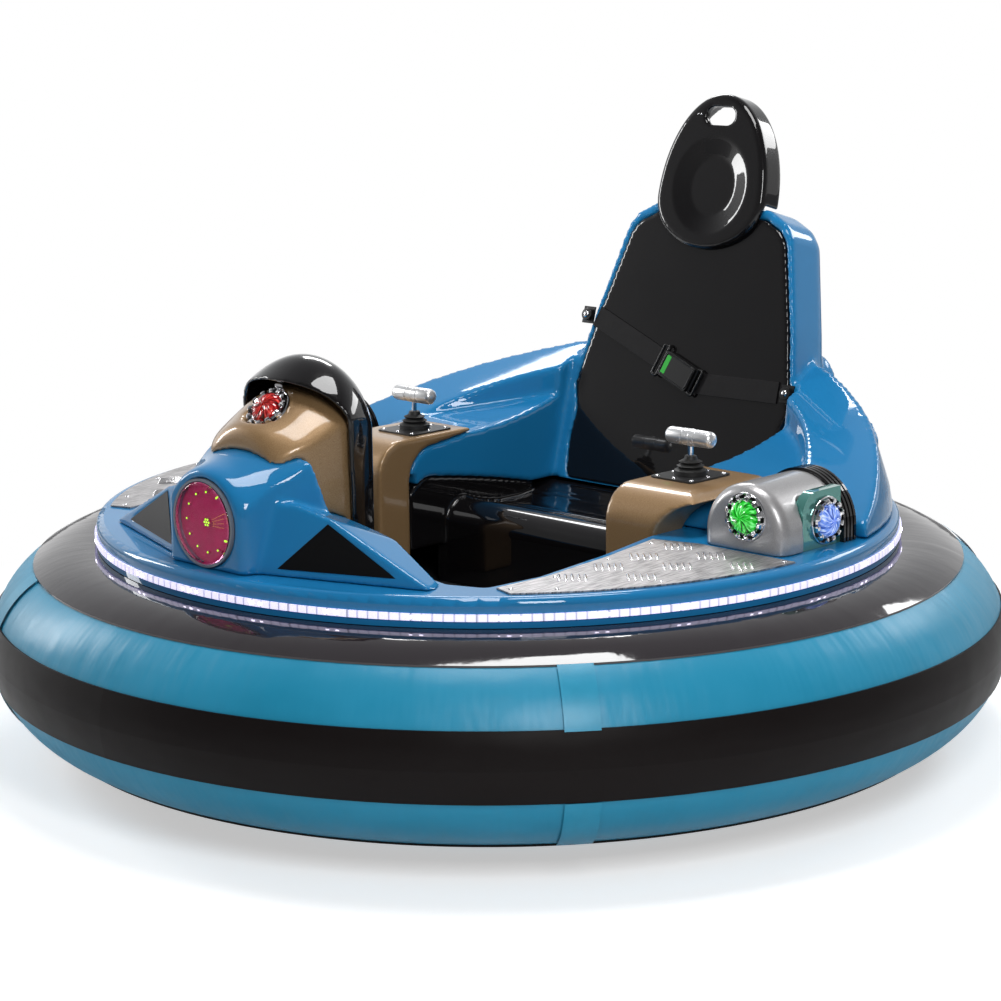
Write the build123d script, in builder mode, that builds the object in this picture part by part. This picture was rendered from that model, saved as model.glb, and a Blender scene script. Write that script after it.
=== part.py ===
from build123d import *
import os
from math import atan2, cos, degrees, radians, sin, sqrt, tan

os.makedirs("parts", exist_ok=True)

# Bumper car on an inflated ring, in millimetres.
# +X is the nose, +Y is the driver's left and +Z is up.
# The origin is on the ground, under the middle of the ring.

# Driving dimensions

SEAT_GAP = 0.3            # gap between pieces that lie on each other
WIDE = 2000.0             # wider than the car, for cutting planes

# Places across the car, from the seat out to the rim
CONSOLE_IN = 300.0        # inner face of a console
POST_W = 116.0            # width of the console's post, inside the cockpit
ARM_W = 219.0             # width of the console's armrest, over the deck
POD_GAP = 7.0             # between a console and its pod
POD_R = 91.0              # half width of a pod's arch
POD_MARGIN = 62.0         # from the pods to the rim
CONSOLE_OUT = CONSOLE_IN + ARM_W
POST_OUT = CONSOLE_IN + POST_W
POD_Y = CONSOLE_OUT + POD_GAP + POD_R
POD_OUT = POD_Y + POD_R
RIM_R = POD_OUT + POD_MARGIN      # outer radius of the blue rim

# Inflated ring
RING_STEP = 15.0          # the tube's centre lies this far outside the rim
RING_R = RIM_R + RING_STEP
TUBE_A = 190.0            # half width of the tube, along the radius
TUBE_B = 177.5            # half height of the tube
RING_Z = 222.5            # height of the tube's centre above the ground
PATCH_T = 3.0             # thickness of the bands glued on the tube
BAND_HALF = 61.0          # half height of the wear band
BAND_RISE = 2.5           # its middle above the tube's centre
TOP_PANEL_IN, TOP_PANEL_OUT = RING_R - 95.0, RING_R + 106.0
BASE_PANEL_IN, BASE_PANEL_OUT = RING_R - 85.0, RING_R + 83.0

# Deck and tub
DECK_Z = 455.0            # top of the deck
FRP_T = 6.0               # wall of the glass fibre mouldings
RIM_ROUND = 14.0
LIP_DROP = 45.0           # turned-down edge round the cockpit
STRIP_T, STRIP_H = 3.5, 12.0
STRIP_Z = 422.0           # middle height of the light strip
TUB_R = RING_R - TUBE_A - SEAT_GAP
TUB_FLARE_Z = 372.0       # height where the tub's wall flares out over the tube
TUB_FLARE_R = RIM_R - 65.0
FLANGE_W = 30.0
FLANGE_Z = DECK_Z - FRP_T - SEAT_GAP      # top of the tub's flange
FLOOR_Z = 215.0           # top of the cockpit floor
TUB_BASE_Z = 120.0        # lower edge of the tub's wall
LEDGE_W = 20.0            # ledge in the tub that carries the floor

# Nose
LAMP_X = RIM_R - 33.0     # front face of the nose lamp's seat
LAMP_Z = 535.0
LAMP_R = 73.5
LAMP_RING = 4.5           # width of the ring round a round lamp
LAMP_DEPTH = 24.0
LENS_RISE = 7.0

# Controls
STICK_X, STICK_Y = -138.0, CONSOLE_IN + 68.0
CONSOLE_TOP = 533.0
GRIP_L, GRIP_R = 112.0, 16.5

# Side pods
POD_FRONT = 22.0
POD_SIDE_TOP = 484.0
JEWEL_R = 44.0

# Seat
BACK_X, BACK_Z = -484.0, 384.0      # foot of the seat back's face
LEAN = 15.6                         # degrees from upright

# Running gear
WHEEL_R, WHEEL_W = 100.0, 46.0
WHEEL_Y = 300.0
CASTER_R, CASTER_W = 62.5, 32.0
RAIL_Y = 150.0            # middle of the frame rails
RAIL_MARGIN = 64.7        # from the rails' ends to the tub's wall
RAIL_HALF_L = TUB_R - RAIL_MARGIN
CASTER_X = RAIL_HALF_L - 100.0
CASTER_TRAIL = 42.0
RAIL = 50.0
MOTOR_SHAFT_R = 10.0
RUN_GAP = 0.05            # running clearance of shafts in their bores
LIFT_X, LIFT_HOLE_R = 240.0, 6.5  # holes in the rails for a lifting frame
RAIL_Z = FLOOR_Z - FRP_T - SEAT_GAP - RAIL      # underside of the frame rails


def save(builder, node):
    builder.part.label = node
    export_step(builder.part, f"parts/{node}.step")


# Inflated ring and the bands on it

with BuildPart() as bumper_tube:
    with BuildSketch(Plane.XZ):
        with Locations((RING_R, RING_Z)):
            Ellipse(TUBE_A, TUBE_B)
    revolve(axis=Axis.Z)
save(bumper_tube, "bumper_tube")


def ring_band(r_low, r_high, z_low, z_high):
    """A band that lies on the tube inside a window of radius and height."""
    with BuildPart() as band:
        with BuildSketch(Plane.XZ):
            with Locations((RING_R, RING_Z)):
                Ellipse(TUBE_A + SEAT_GAP + PATCH_T, TUBE_B + SEAT_GAP + PATCH_T)
                Ellipse(TUBE_A + SEAT_GAP, TUBE_B + SEAT_GAP, mode=Mode.SUBTRACT)
            with Locations(((r_low + r_high) / 2, (z_low + z_high) / 2)):
                Rectangle(r_high - r_low, z_high - z_low, mode=Mode.INTERSECT)
        revolve(axis=Axis.Z)
    return band


RING_OUT = RING_R + TUBE_A + 20
band_mid = RING_Z + BAND_RISE
save(ring_band(RING_R, RING_OUT, band_mid - BAND_HALF, band_mid + BAND_HALF), "bumper_band")
save(ring_band(TOP_PANEL_IN, TOP_PANEL_OUT, RING_Z, RING_Z + TUBE_B + 20), "bumper_top_panel")
save(ring_band(BASE_PANEL_IN, BASE_PANEL_OUT, RING_Z - TUBE_B - 20, RING_Z), "bumper_base_panel")

# Deck with its rim, cockpit opening and turned-down lip

# Half outline of the cockpit opening, from the middle of the nose to the middle of the seat
POST_FRONT, POST_REAR = 30.0, -58.0
POST_CLEAR = 9.0          # between a console's post and the deck round it
OPENING_FRONT = LAMP_X - 342
OPENING_REAR = -(RIM_R - 180)
WALL_OUT = 338.0          # outer face of the blue walls beside the seat, in the opening
SIDE_A, SIDE_B, SIDE_C = RIM_R - 296, RIM_R - 283, RIM_R - 307
# columns: x, y
OPENING = [(OPENING_FRONT, 0), (OPENING_FRONT, 118), (LAMP_X - 232, 200), (LAMP_X - 185, 400),
           (LAMP_X - 213, SIDE_A), (LAMP_X - 337, SIDE_B), (215, SIDE_C),
           (POST_FRONT + 5, POST_OUT + POST_CLEAR), (POST_REAR - 11, POST_OUT + POST_CLEAR),
           (POST_REAR - 11, WALL_OUT + 7), (OPENING_REAR, WALL_OUT + 7), (OPENING_REAR, 0)]


def opening_face(inset):
    """Sketch of the cockpit opening, made smaller all round by the inset."""
    with BuildSketch() as half:
        with BuildLine():
            Polyline(*OPENING, close=True)
        make_face()
        mirror(about=Plane.XZ)
        if inset:
            offset(amount=-inset, kind=Kind.INTERSECTION)
        fillet(half.vertices().filter_by(lambda v: abs(v.Y) > 1 and v.X > 60), 22)
    return half.sketch


RIM_FOOT = RING_Z + TUBE_B + PATCH_T + 2 * SEAT_GAP
opening_outer = opening_face(0)
opening_inner = opening_face(FRP_T)

with BuildPart() as deck:
    with BuildSketch(Plane.XZ):
        with BuildLine():
            Polyline((RIM_R, DECK_Z - RIM_ROUND), (RIM_R, RIM_FOOT), (RIM_R - FRP_T, RIM_FOOT),
                     (RIM_R - FRP_T, DECK_Z - RIM_ROUND), (RIM_R - RIM_ROUND, DECK_Z - FRP_T),
                     (0, DECK_Z - FRP_T), (0, DECK_Z), (RIM_R - RIM_ROUND, DECK_Z))
            RadiusArc((RIM_R - RIM_ROUND, DECK_Z), (RIM_R, DECK_Z - RIM_ROUND), RIM_ROUND)
        make_face()
    revolve(axis=Axis.Z)
    with BuildSketch(Plane.XY.offset(DECK_Z - LIP_DROP)):
        add(opening_outer)
    extrude(amount=LIP_DROP)
    with BuildSketch(Plane.XY.offset(DECK_Z - LIP_DROP - 1)):
        add(opening_inner)
    extrude(amount=LIP_DROP + 2, mode=Mode.SUBTRACT)
    with BuildSketch(Plane.XZ):
        Polygon((TUB_R - 2 * FRP_T, TUB_FLARE_Z), (TUB_FLARE_R - 14, FLANGE_Z + SEAT_GAP / 2),
                (RIM_R - 2 * FRP_T, FLANGE_Z + SEAT_GAP / 2), (RIM_R - 2 * FRP_T, TUB_FLARE_Z), align=None)
    revolve(axis=Axis.Z, mode=Mode.SUBTRACT)
save(deck, "deck")

with BuildPart() as light_strip:
    with BuildSketch(Plane.XZ):
        with Locations((RIM_R + SEAT_GAP + STRIP_T / 2, STRIP_Z)):
            Rectangle(STRIP_T, STRIP_H)
    revolve(axis=Axis.Z)
save(light_strip, "rim_light_strip")

# Black tub: flange under the deck, flare over the tube, wall and the ledge under the floor
TUB_IN = TUB_R - FRP_T
ledge_top = FLOOR_Z - FRP_T - SEAT_GAP
with BuildPart() as tub:
    with BuildSketch(Plane.XZ):
        with BuildLine():
            Polyline((TUB_FLARE_R + FLANGE_W, FLANGE_Z), (TUB_FLARE_R + FLANGE_W, FLANGE_Z - FRP_T),
                     (TUB_FLARE_R, FLANGE_Z - FRP_T), (TUB_R, TUB_FLARE_Z), (TUB_R, TUB_BASE_Z),
                     (TUB_IN, TUB_BASE_Z), (TUB_IN, ledge_top - FRP_T), (TUB_IN - LEDGE_W, ledge_top - FRP_T),
                     (TUB_IN - LEDGE_W, ledge_top), (TUB_IN, ledge_top), (TUB_IN, TUB_FLARE_Z + 3),
                     (TUB_FLARE_R - 8, FLANGE_Z), close=True)
        make_face()
    revolve(axis=Axis.Z)
save(tub, "tub")

# Floor of the cockpit, bolted through to the rails
FLOOR_BOLT_X, FLOOR_BOLT_R = 330.0, 5.25
with BuildPart() as cockpit_floor:
    with BuildSketch(Plane.XY.offset(FLOOR_Z - FRP_T)):
        Circle(TUB_IN - SEAT_GAP)
        with Locations(*[(x, y) for x in (-FLOOR_BOLT_X, FLOOR_BOLT_X) for y in (-RAIL_Y, RAIL_Y)]):
            Circle(FLOOR_BOLT_R, mode=Mode.SUBTRACT)
    extrude(amount=FRP_T)
save(cockpit_floor, "cockpit_floor")

# Nose cowl: snout and the two wings that fall away to the rim

# Snout sections across the car, from the lamp back to the hood
# columns: setback from the lamp, half width at the deck and at the shoulder, shoulder height, top height
SNOUT = [(0, 88, 86, 566, 623), (9, 101, 97, 568, 629), (50, 117, 105, 594, 639),
         (96, 142, 120, 618, 652), (137, 156, 133, 641, 656), (192, 166, 140, 645, 660)]
# Side view of the snout's rear end, which leans forward from the deck to the hood
SKIN_FOOT, SKIN_TOP = Vector(LAMP_X - 193, DECK_Z), Vector(LAMP_X - 126, 670)


def arch_section(setback, foot, shoulder, shoulder_z, top_z, base_z):
    """Upright section across the car, behind the lamp: flat foot, straight sides, arched top."""
    with BuildSketch(Plane.YZ.offset(LAMP_X - setback)) as section:
        with BuildLine():
            Polyline((shoulder, shoulder_z), (foot, base_z), (-foot, base_z), (-shoulder, shoulder_z))
            ThreePointArc((-shoulder, shoulder_z), (0, top_z), (shoulder, shoulder_z))
        make_face()
    return section.sketch


# Corners of the black triangular panel on the left wing: apex, inner corner, outer corner
PANEL = (Vector(LAMP_X - 95, 214, 548), Vector(LAMP_X - 42, 141, 468), Vector(LAMP_X - 118, 354, 471))
PANEL_T = 3.0
panel_normal = (PANEL[2] - PANEL[1]).cross(PANEL[0] - PANEL[1]).normalized()
panel_plane = Plane(origin=PANEL[0], x_dir=PANEL[2] - PANEL[1], z_dir=panel_normal)
panel_corners = [panel_plane.to_local_coords(corner) for corner in PANEL]
panel_points = [(corner.X, corner.Y) for corner in panel_corners]

# Wing outline on the deck, and the two planes of its falling top
# columns: setback from the lamp, y
WING_PLAN = [(13, 84), (77, 352), (115, 412), (171, 412), (181, 400), (228, 203), (217, 0), (47, 0)]
WING_TOP_Z = 575.0
wing_inner = Plane(origin=(LAMP_X - 101, 200, 559), x_dir=(1, 0, 0.38), z_dir=(-0.38, 0.17, 1))
wing_outer = Plane(origin=(LAMP_X - 101, 214, 557), x_dir=(1, 0, 0.28), z_dir=(-0.28, 0.43, 1))

BASE = DECK_Z + SEAT_GAP
with BuildPart() as wing:
    with BuildSketch(Plane.XY.offset(BASE)):
        Polygon(*[(LAMP_X - setback, y) for setback, y in WING_PLAN], align=None)
    extrude(amount=WING_TOP_Z - BASE)
    split(bisect_by=panel_plane, keep=Keep.BOTTOM)
    split(bisect_by=wing_inner, keep=Keep.BOTTOM)
    split(bisect_by=wing_outer, keep=Keep.BOTTOM)
    with BuildSketch(panel_plane):
        Polygon(*panel_points, align=None)
        offset(amount=SEAT_GAP)
    extrude(amount=-(PANEL_T + SEAT_GAP), mode=Mode.SUBTRACT)

with BuildPart() as nose_cowl:
    loft(sections=[arch_section(*row, BASE) for row in SNOUT])
    with BuildSketch(Plane.XZ):
        with BuildLine():
            Polyline(SKIN_FOOT, SKIN_TOP, (0, SKIN_TOP.Y), (0, SKIN_FOOT.Y), close=True)
        make_face()
    extrude(amount=SIDE_A, both=True, mode=Mode.SUBTRACT)
    add(wing.part)
    mirror(wing.part, about=Plane.XZ)
    with BuildSketch(Plane.YZ.offset(LAMP_X)):
        with Locations((0, LAMP_Z)):
            Circle(LAMP_R + LAMP_RING + SEAT_GAP)
    extrude(amount=-LAMP_DEPTH, mode=Mode.SUBTRACT)
save(nose_cowl, "nose_cowl")

with BuildPart() as nose_panels:
    with BuildSketch(panel_plane.offset(-PANEL_T)):
        Polygon(*panel_points, align=None)
    extrude(amount=PANEL_T)
    mirror(about=Plane.XZ)
save(nose_panels, "nose_panels")


# Round lamps: a ring, a board with its light points and a domed lens

def lamp_pieces(places, radius, ring, depth, points):
    """Ring, board and lens of the round lamps at the given planes."""
    board_r = radius - 1.0
    with BuildPart() as rings:
        for place in places:
            with BuildSketch(place.offset(-depth + SEAT_GAP)):
                Circle(radius + ring)
                Circle(radius, mode=Mode.SUBTRACT)
            extrude(amount=depth + 3)
    with BuildPart() as boards:
        for place in places:
            with BuildSketch(place.offset(-depth + SEAT_GAP)):
                Circle(board_r)
            extrude(amount=5)
            with BuildSketch(place.offset(-depth + SEAT_GAP + 5)):
                with PolarLocations(radius * 0.72, points):
                    Circle(radius * 0.045)
                Circle(radius * 0.11)
            extrude(amount=4)
    with BuildPart() as lenses:
        for place in places:
            with BuildSketch(place.offset(-3)):
                Circle(board_r)
            extrude(amount=3)
            with BuildSketch(place):
                Circle(board_r)
            extrude(amount=LENS_RISE, taper=52)
    return rings, boards, lenses


nose_lamp = lamp_pieces([Plane(origin=(LAMP_X, 0, LAMP_Z), x_dir=(0, 1, 0), z_dir=(1, 0, 0))],
                        LAMP_R, LAMP_RING, LAMP_DEPTH, 12)
for piece, node in zip(nose_lamp, ("nose_lamp_ring", "nose_lamp_board", "nose_lamp_lens")):
    save(piece, node)

# Bronze hood behind the snout
# columns: setback from the lamp, half width, shoulder height, top height
HOOD = [(87, 72, 626, 664), (94, 88, 640, 688), (112, 101, 654, 699), (137, 113, 664, 710),
        (187, 123, 684, 738), (217, 126, 692, 748), (248, 121, 688, 745)]
red_plane = Plane(origin=(LAMP_X - 157, 0, 712), x_dir=(0, 1, 0), z_dir=(1, 0, 1))
with BuildPart() as nose_hood:
    loft(sections=[arch_section(setback, width, width, shoulder, top, BASE)
                   for setback, width, shoulder, top in HOOD])
    add(nose_cowl.part, mode=Mode.SUBTRACT)
    with BuildSketch(red_plane):
        Circle(JEWEL_R + 1)
    extrude(amount=60, mode=Mode.SUBTRACT)
hood_body = nose_hood.part.solids().sort_by(SortBy.VOLUME)[-1]
nose_hood.part = hood_body
save(nose_hood, "nose_hood")

# Black visor over the hood: a shell open to the front
# columns: setback from the lamp, half width, shoulder height, top height
VISOR = [(312, 92, 646, 742), (300, 112, 672, 768), (280, 127, 692, 789), (255, 135, 702, 800),
         (225, 141, 706, 797), (195, 138, 708, 781), (168, 131, 706, 762)]
VISOR_T = 9.0
with BuildPart() as visor_core:
    loft(sections=[arch_section(setback, width - VISOR_T, width - VISOR_T, shoulder, top - VISOR_T, BASE - 1)
                   for setback, width, shoulder, top in VISOR[1:] + [(100, *VISOR[-1][1:])]])
# Side view of what is cut away in front of the visor's legs and under its brow
LEG_FOOT, LEG_TOP = Vector(LAMP_X - 228, DECK_Z - 5), Vector(LAMP_X - 219, 676)
BROW_MID, BROW_TIP = Vector(LAMP_X - 201, 738), Vector(LAMP_X - 170, 765)
with BuildPart() as nose_visor:
    loft(sections=[arch_section(setback, width, width, shoulder, top, BASE)
                   for setback, width, shoulder, top in VISOR])
    add(visor_core.part, mode=Mode.SUBTRACT)
    with BuildSketch(Plane.XZ):
        with BuildLine():
            Line(LEG_FOOT, LEG_TOP)
            ThreePointArc(LEG_TOP, BROW_MID, BROW_TIP)
            Polyline(BROW_TIP, (RIM_R, BROW_TIP.Y), (RIM_R, LEG_FOOT.Y), LEG_FOOT)
        make_face()
    extrude(amount=200, both=True, mode=Mode.SUBTRACT)
save(nose_visor, "nose_visor")

# Bronze consoles: a post from the floor that leans back into an armrest
ARM_REAR = -236.0
with BuildPart() as console_left:
    with BuildSketch(Plane.XZ.offset(-CONSOLE_OUT)):
        with BuildLine():
            Polyline((POST_FRONT, CONSOLE_TOP - 68), (POST_FRONT, FLOOR_Z + SEAT_GAP),
                     (POST_REAR, FLOOR_Z + SEAT_GAP), (POST_REAR, CONSOLE_TOP - 88))
            ThreePointArc((POST_REAR, CONSOLE_TOP - 88), (POST_REAR - 20, CONSOLE_TOP - 42),
                          (POST_REAR - 68, CONSOLE_TOP - 22))
            Polyline((POST_REAR - 68, CONSOLE_TOP - 22), (ARM_REAR, CONSOLE_TOP - 8),
                     (ARM_REAR, CONSOLE_TOP), (POST_FRONT - 68, CONSOLE_TOP))
            ThreePointArc((POST_FRONT - 68, CONSOLE_TOP), (POST_FRONT - 20, CONSOLE_TOP - 20),
                          (POST_FRONT, CONSOLE_TOP - 68))
        make_face()
    extrude(amount=CONSOLE_OUT - CONSOLE_IN)
    with BuildSketch(Plane.XY.offset(BASE)):
        with Locations((0, POST_OUT)):
            Rectangle(600, 300, align=(Align.CENTER, Align.MIN))
    extrude(amount=-300, mode=Mode.SUBTRACT)
    with BuildSketch(Plane.YZ.offset(200)):
        with BuildLine():
            Polyline((440, CONSOLE_TOP + 1), (CONSOLE_OUT + 1, CONSOLE_TOP + 1),
                     (CONSOLE_OUT + 1, CONSOLE_TOP - 40))
            ThreePointArc((CONSOLE_OUT + 1, CONSOLE_TOP - 40), (492, CONSOLE_TOP - 14),
                          (440, CONSOLE_TOP + 1))
        make_face()
    extrude(amount=-600, mode=Mode.SUBTRACT)
    with BuildSketch(Plane.YZ.offset(200)):
        with BuildLine():
            ThreePointArc((POST_OUT + 3, BASE - 1), (POST_OUT + 34, 500), (CONSOLE_OUT + 1, CONSOLE_TOP - 18))
            Polyline((CONSOLE_OUT + 1, CONSOLE_TOP - 18), (CONSOLE_OUT + 1, BASE - 1),
                     (POST_OUT + 3, BASE - 1))
        make_face()
    extrude(amount=-300, mode=Mode.SUBTRACT)
save(console_left, "console_left")
with BuildPart() as console_right:
    mirror(console_left.part, about=Plane.XZ)
save(console_right, "console_right")

# Joysticks: plate, bellows boot, stem and cross grip
PLATE_L, PLATE_W, PLATE_T = 118.0, 104.0, 3.0
PLATE_Z = CONSOLE_TOP + SEAT_GAP
BOOT_Z = PLATE_Z + PLATE_T + SEAT_GAP
GRIP_Z = 607.0
STEM_R = 5.0
sticks = [(STICK_X, side * STICK_Y) for side in (1, -1)]
with BuildPart() as stick_plates:
    with BuildSketch(Plane.XY.offset(PLATE_Z)):
        with Locations(*sticks):
            RectangleRounded(PLATE_L, PLATE_W, 10)
    extrude(amount=PLATE_T)
save(stick_plates, "joystick_plates")
# Bellows of the boot: columns: height above the plate, radius
BELLOWS = [(0, 31), (9, 31), (13, 22), (17, 26), (21, 18), (25, 22), (29, 13), (36, 11)]
with BuildPart() as stick_boots:
    with BuildSketch(Plane.XZ) as boot_profile:
        Polygon(*[(STEM_R + SEAT_GAP, BOOT_Z)]
                + [(radius, BOOT_Z + height) for height, radius in BELLOWS]
                + [(STEM_R + SEAT_GAP, BOOT_Z + BELLOWS[-1][0])], align=None)
    revolve(axis=Axis.Z)
boot = stick_boots.part
with BuildPart() as stick_boots:
    with Locations(*sticks):
        add(boot)
save(stick_boots, "joystick_boots")
with BuildPart() as stick_stems:
    with BuildSketch(Plane.XY.offset(BOOT_Z)):
        with Locations(*sticks):
            Circle(STEM_R)
    extrude(until=None, amount=GRIP_Z - GRIP_R - SEAT_GAP - BOOT_Z)
save(stick_stems, "joystick_stems")
with BuildPart() as stick_grips:
    for x, y in sticks:
        with BuildSketch(Plane.XZ.offset(-y - GRIP_L / 2)):
            with Locations((x, GRIP_Z)):
                Circle(GRIP_R)
        extrude(amount=GRIP_L)
    chamfer(stick_grips.edges().filter_by(GeomType.CIRCLE), 5)
save(stick_grips, "joystick_grips")

# Side pods: silver arch with a teal side window and a ribbed black cowl behind
POD_REAR = -151.0
WINDOW_FRONT = -40.0
COWL_REAR = -192.0
WINDOW_T = 4.0


def pod_arch(x, radius, length):
    """Arch section of the pod at x, drawn back by the length."""
    with BuildPart() as arch:
        with BuildSketch(Plane.YZ.offset(x)):
            with BuildLine():
                Polyline((POD_Y + radius, POD_SIDE_TOP), (POD_Y + radius, BASE),
                         (POD_Y - radius, BASE), (POD_Y - radius, POD_SIDE_TOP))
                ThreePointArc((POD_Y - radius, POD_SIDE_TOP), (POD_Y, POD_SIDE_TOP + radius),
                              (POD_Y + radius, POD_SIDE_TOP))
            make_face()
        extrude(amount=-length)
    return arch.part


with BuildPart() as pod_left:
    add(pod_arch(POD_FRONT, POD_R, POD_FRONT - POD_REAR))
    fillet(pod_left.faces().sort_by(Axis.X)[-1].edges().filter_by(lambda e: e.center().Z > BASE + 1), 24)
    with BuildSketch(Plane.XZ.offset(-POD_OUT - 10)):
        with BuildLine():
            Polyline((POD_REAR - 5, BASE - 5), (WINDOW_FRONT, BASE - 5), (WINDOW_FRONT, 520))
            RadiusArc((WINDOW_FRONT, 520), (WINDOW_FRONT - 40, 560), -40)
            Polyline((WINDOW_FRONT - 40, 560), (POD_REAR - 5, 560), (POD_REAR - 5, BASE - 5))
        make_face()
    extrude(amount=WINDOW_T + SEAT_GAP + 24 + 10, mode=Mode.SUBTRACT)
save(pod_left, "pod_left")
with BuildPart() as pod_right:
    mirror(pod_left.part, about=Plane.XZ)
save(pod_right, "pod_right")

with BuildPart() as pod_windows:
    with BuildSketch(Plane.XZ.offset(-POD_OUT + 4)):
        with BuildLine():
            Polyline((POD_REAR, BASE), (WINDOW_FRONT - SEAT_GAP, BASE), (WINDOW_FRONT - SEAT_GAP, 520))
            RadiusArc((WINDOW_FRONT - SEAT_GAP, 520), (WINDOW_FRONT - 40, 559), -40)
            Polyline((WINDOW_FRONT - 40, 559), (POD_REAR, 559), (POD_REAR, BASE))
        make_face()
    extrude(amount=20)
    mirror(about=Plane.XZ)
save(pod_windows, "pod_windows")

RIBS = 4
rib_pitch = (POD_REAR - SEAT_GAP - COWL_REAR) / RIBS
with BuildPart() as pod_cowls:
    add(pod_arch(POD_REAR - SEAT_GAP, POD_R - 3, POD_REAR - SEAT_GAP - COWL_REAR))
    for index in range(RIBS):
        add(pod_arch(POD_REAR - SEAT_GAP - index * rib_pitch, POD_R + 5, rib_pitch * 0.55))
    mirror(about=Plane.XZ)
save(pod_cowls, "pod_cowls")

# Jewel lamps: notched ring and domed lens
green_plane = Plane(origin=(POD_FRONT + SEAT_GAP, POD_Y + 11, POD_SIDE_TOP + 35),
                    x_dir=(0, 1, 0), z_dir=(1, 0, 0))
blue_plane = Plane(origin=(WINDOW_FRONT - 66, POD_OUT - 4 + SEAT_GAP, POD_SIDE_TOP + 19),
                   x_dir=(1, 0, 0), z_dir=(0, 1, 0))
JEWEL_LENS_R, JEWEL_RING_T, NOTCHES = 29.0, 12.0, 12


def mirrored(plane):
    """The same plane on the other side of the car."""
    origin, normal, along = plane.origin, plane.z_dir, plane.x_dir
    return Plane(origin=(origin.X, -origin.Y, origin.Z), x_dir=(along.X, -along.Y, along.Z),
                 z_dir=(normal.X, -normal.Y, normal.Z))


green_planes = [green_plane, mirrored(green_plane)]
blue_planes = [blue_plane, mirrored(blue_plane)]
with BuildPart() as jewel_rings:
    for place in [red_plane.offset(SEAT_GAP)] + green_planes + blue_planes:
        with BuildSketch(place):
            Circle(JEWEL_R)
            Circle(JEWEL_LENS_R, mode=Mode.SUBTRACT)
        extrude(amount=JEWEL_RING_T * 0.4)
        with BuildSketch(place.offset(JEWEL_RING_T * 0.4)):
            Circle(JEWEL_R - 2)
            Circle(JEWEL_LENS_R, mode=Mode.SUBTRACT)
            with PolarLocations(JEWEL_R - 2, NOTCHES):
                Rectangle(15, 6, mode=Mode.SUBTRACT)
        extrude(amount=JEWEL_RING_T * 0.6)
save(jewel_rings, "jewel_rings")


def jewel_lenses(places):
    """Stepped dome lenses set in the rings."""
    with BuildPart() as lenses:
        for place in places:
            with BuildSketch(place):
                Circle(JEWEL_LENS_R - SEAT_GAP)
            extrude(amount=JEWEL_RING_T)
            with BuildSketch(place.offset(JEWEL_RING_T)):
                Circle(JEWEL_LENS_R - SEAT_GAP)
            extrude(amount=9, taper=50)
    return lenses


save(jewel_lenses([red_plane.offset(SEAT_GAP)]), "jewel_lens_red")
save(jewel_lenses(green_planes), "jewel_lenses_green")
save(jewel_lenses(blue_planes), "jewel_lenses_blue")

# Aluminium tread plates on the deck beside the cockpit
TREAD_T = 3.0
TREAD_R = RIM_R - 42
TREAD_REAR = POD_FRONT + 14
tread_tip = LAMP_X - 209
# columns: x, y
TREAD = [(tread_tip, sqrt(TREAD_R ** 2 - tread_tip ** 2)), (LAMP_X - 223, SIDE_A + 13),
         (LAMP_X - 337, SIDE_B + 10), (215, SIDE_C + 11), (62, POST_OUT + 29),
         (TREAD_REAR, CONSOLE_OUT + 11), (TREAD_REAR, sqrt(TREAD_R ** 2 - TREAD_REAR ** 2))]
with BuildPart() as tread_plates:
    with BuildSketch(Plane.XY.offset(BASE)):
        with BuildLine():
            Polyline(*TREAD)
            RadiusArc(TREAD[-1], TREAD[0], TREAD_R)
        make_face()
    extrude(amount=TREAD_T)
    mirror(about=Plane.XZ)
save(tread_plates, "tread_plates")

# Rear shell: humped wall round the seat, shelf beside the seat and the surround of the back
CAVITY_Y = CONSOLE_IN + 2
WALL_FOOT = 390.0         # lower edge of the blue walls beside the seat
# Curved foot of the walls, from the console's post to the seat back
FOOT_RISE = [(POST_REAR, WALL_FOOT + 16), (-84, WALL_FOOT + 46), (-126, WALL_FOOT + 55)]
FOOT_FALL = [(-126, WALL_FOOT + 55), (-270, WALL_FOOT + 32), (-430, WALL_FOOT - 2)]
SHELL_FRONT = COWL_REAR - 3
lean_cos, lean_sin = cos(radians(LEAN)), sin(radians(LEAN))


def back_x(z):
    """X of the seat back's face at a height."""
    return BACK_X - (z - BACK_Z) * tan(radians(LEAN))


# Plane of the seat back's face: x along +Y, y up the back, z forward
back_plane = Plane(origin=(BACK_X, 0, BACK_Z), x_dir=(0, 1, 0), z_dir=(lean_cos, 0, lean_sin))
# Half outline of the seat back on that plane
# columns: y, distance up the face
BACK = [(0, 12), (266, 12), (276, 90), (270, 160), (286, 215), (250, 380), (205, 550), (186, 574),
        (142, 596), (0, 602)]


BACK_ROUND = 12.0         # corners of the outline


def back_outline(grow, rise=0):
    """Outline of the seat back, grown all round and with its top raised."""
    with BuildSketch() as face:
        with BuildLine():
            Polyline(*[(y, up + rise if up > 500 else up) for y, up in BACK], close=True)
        make_face()
        mirror(about=Plane.YZ)
        if grow:
            offset(amount=grow, kind=Kind.INTERSECTION)
        fillet(face.vertices().filter_by(lambda v: abs(v.X) > 1), BACK_ROUND + grow)
    return face.sketch


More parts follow.
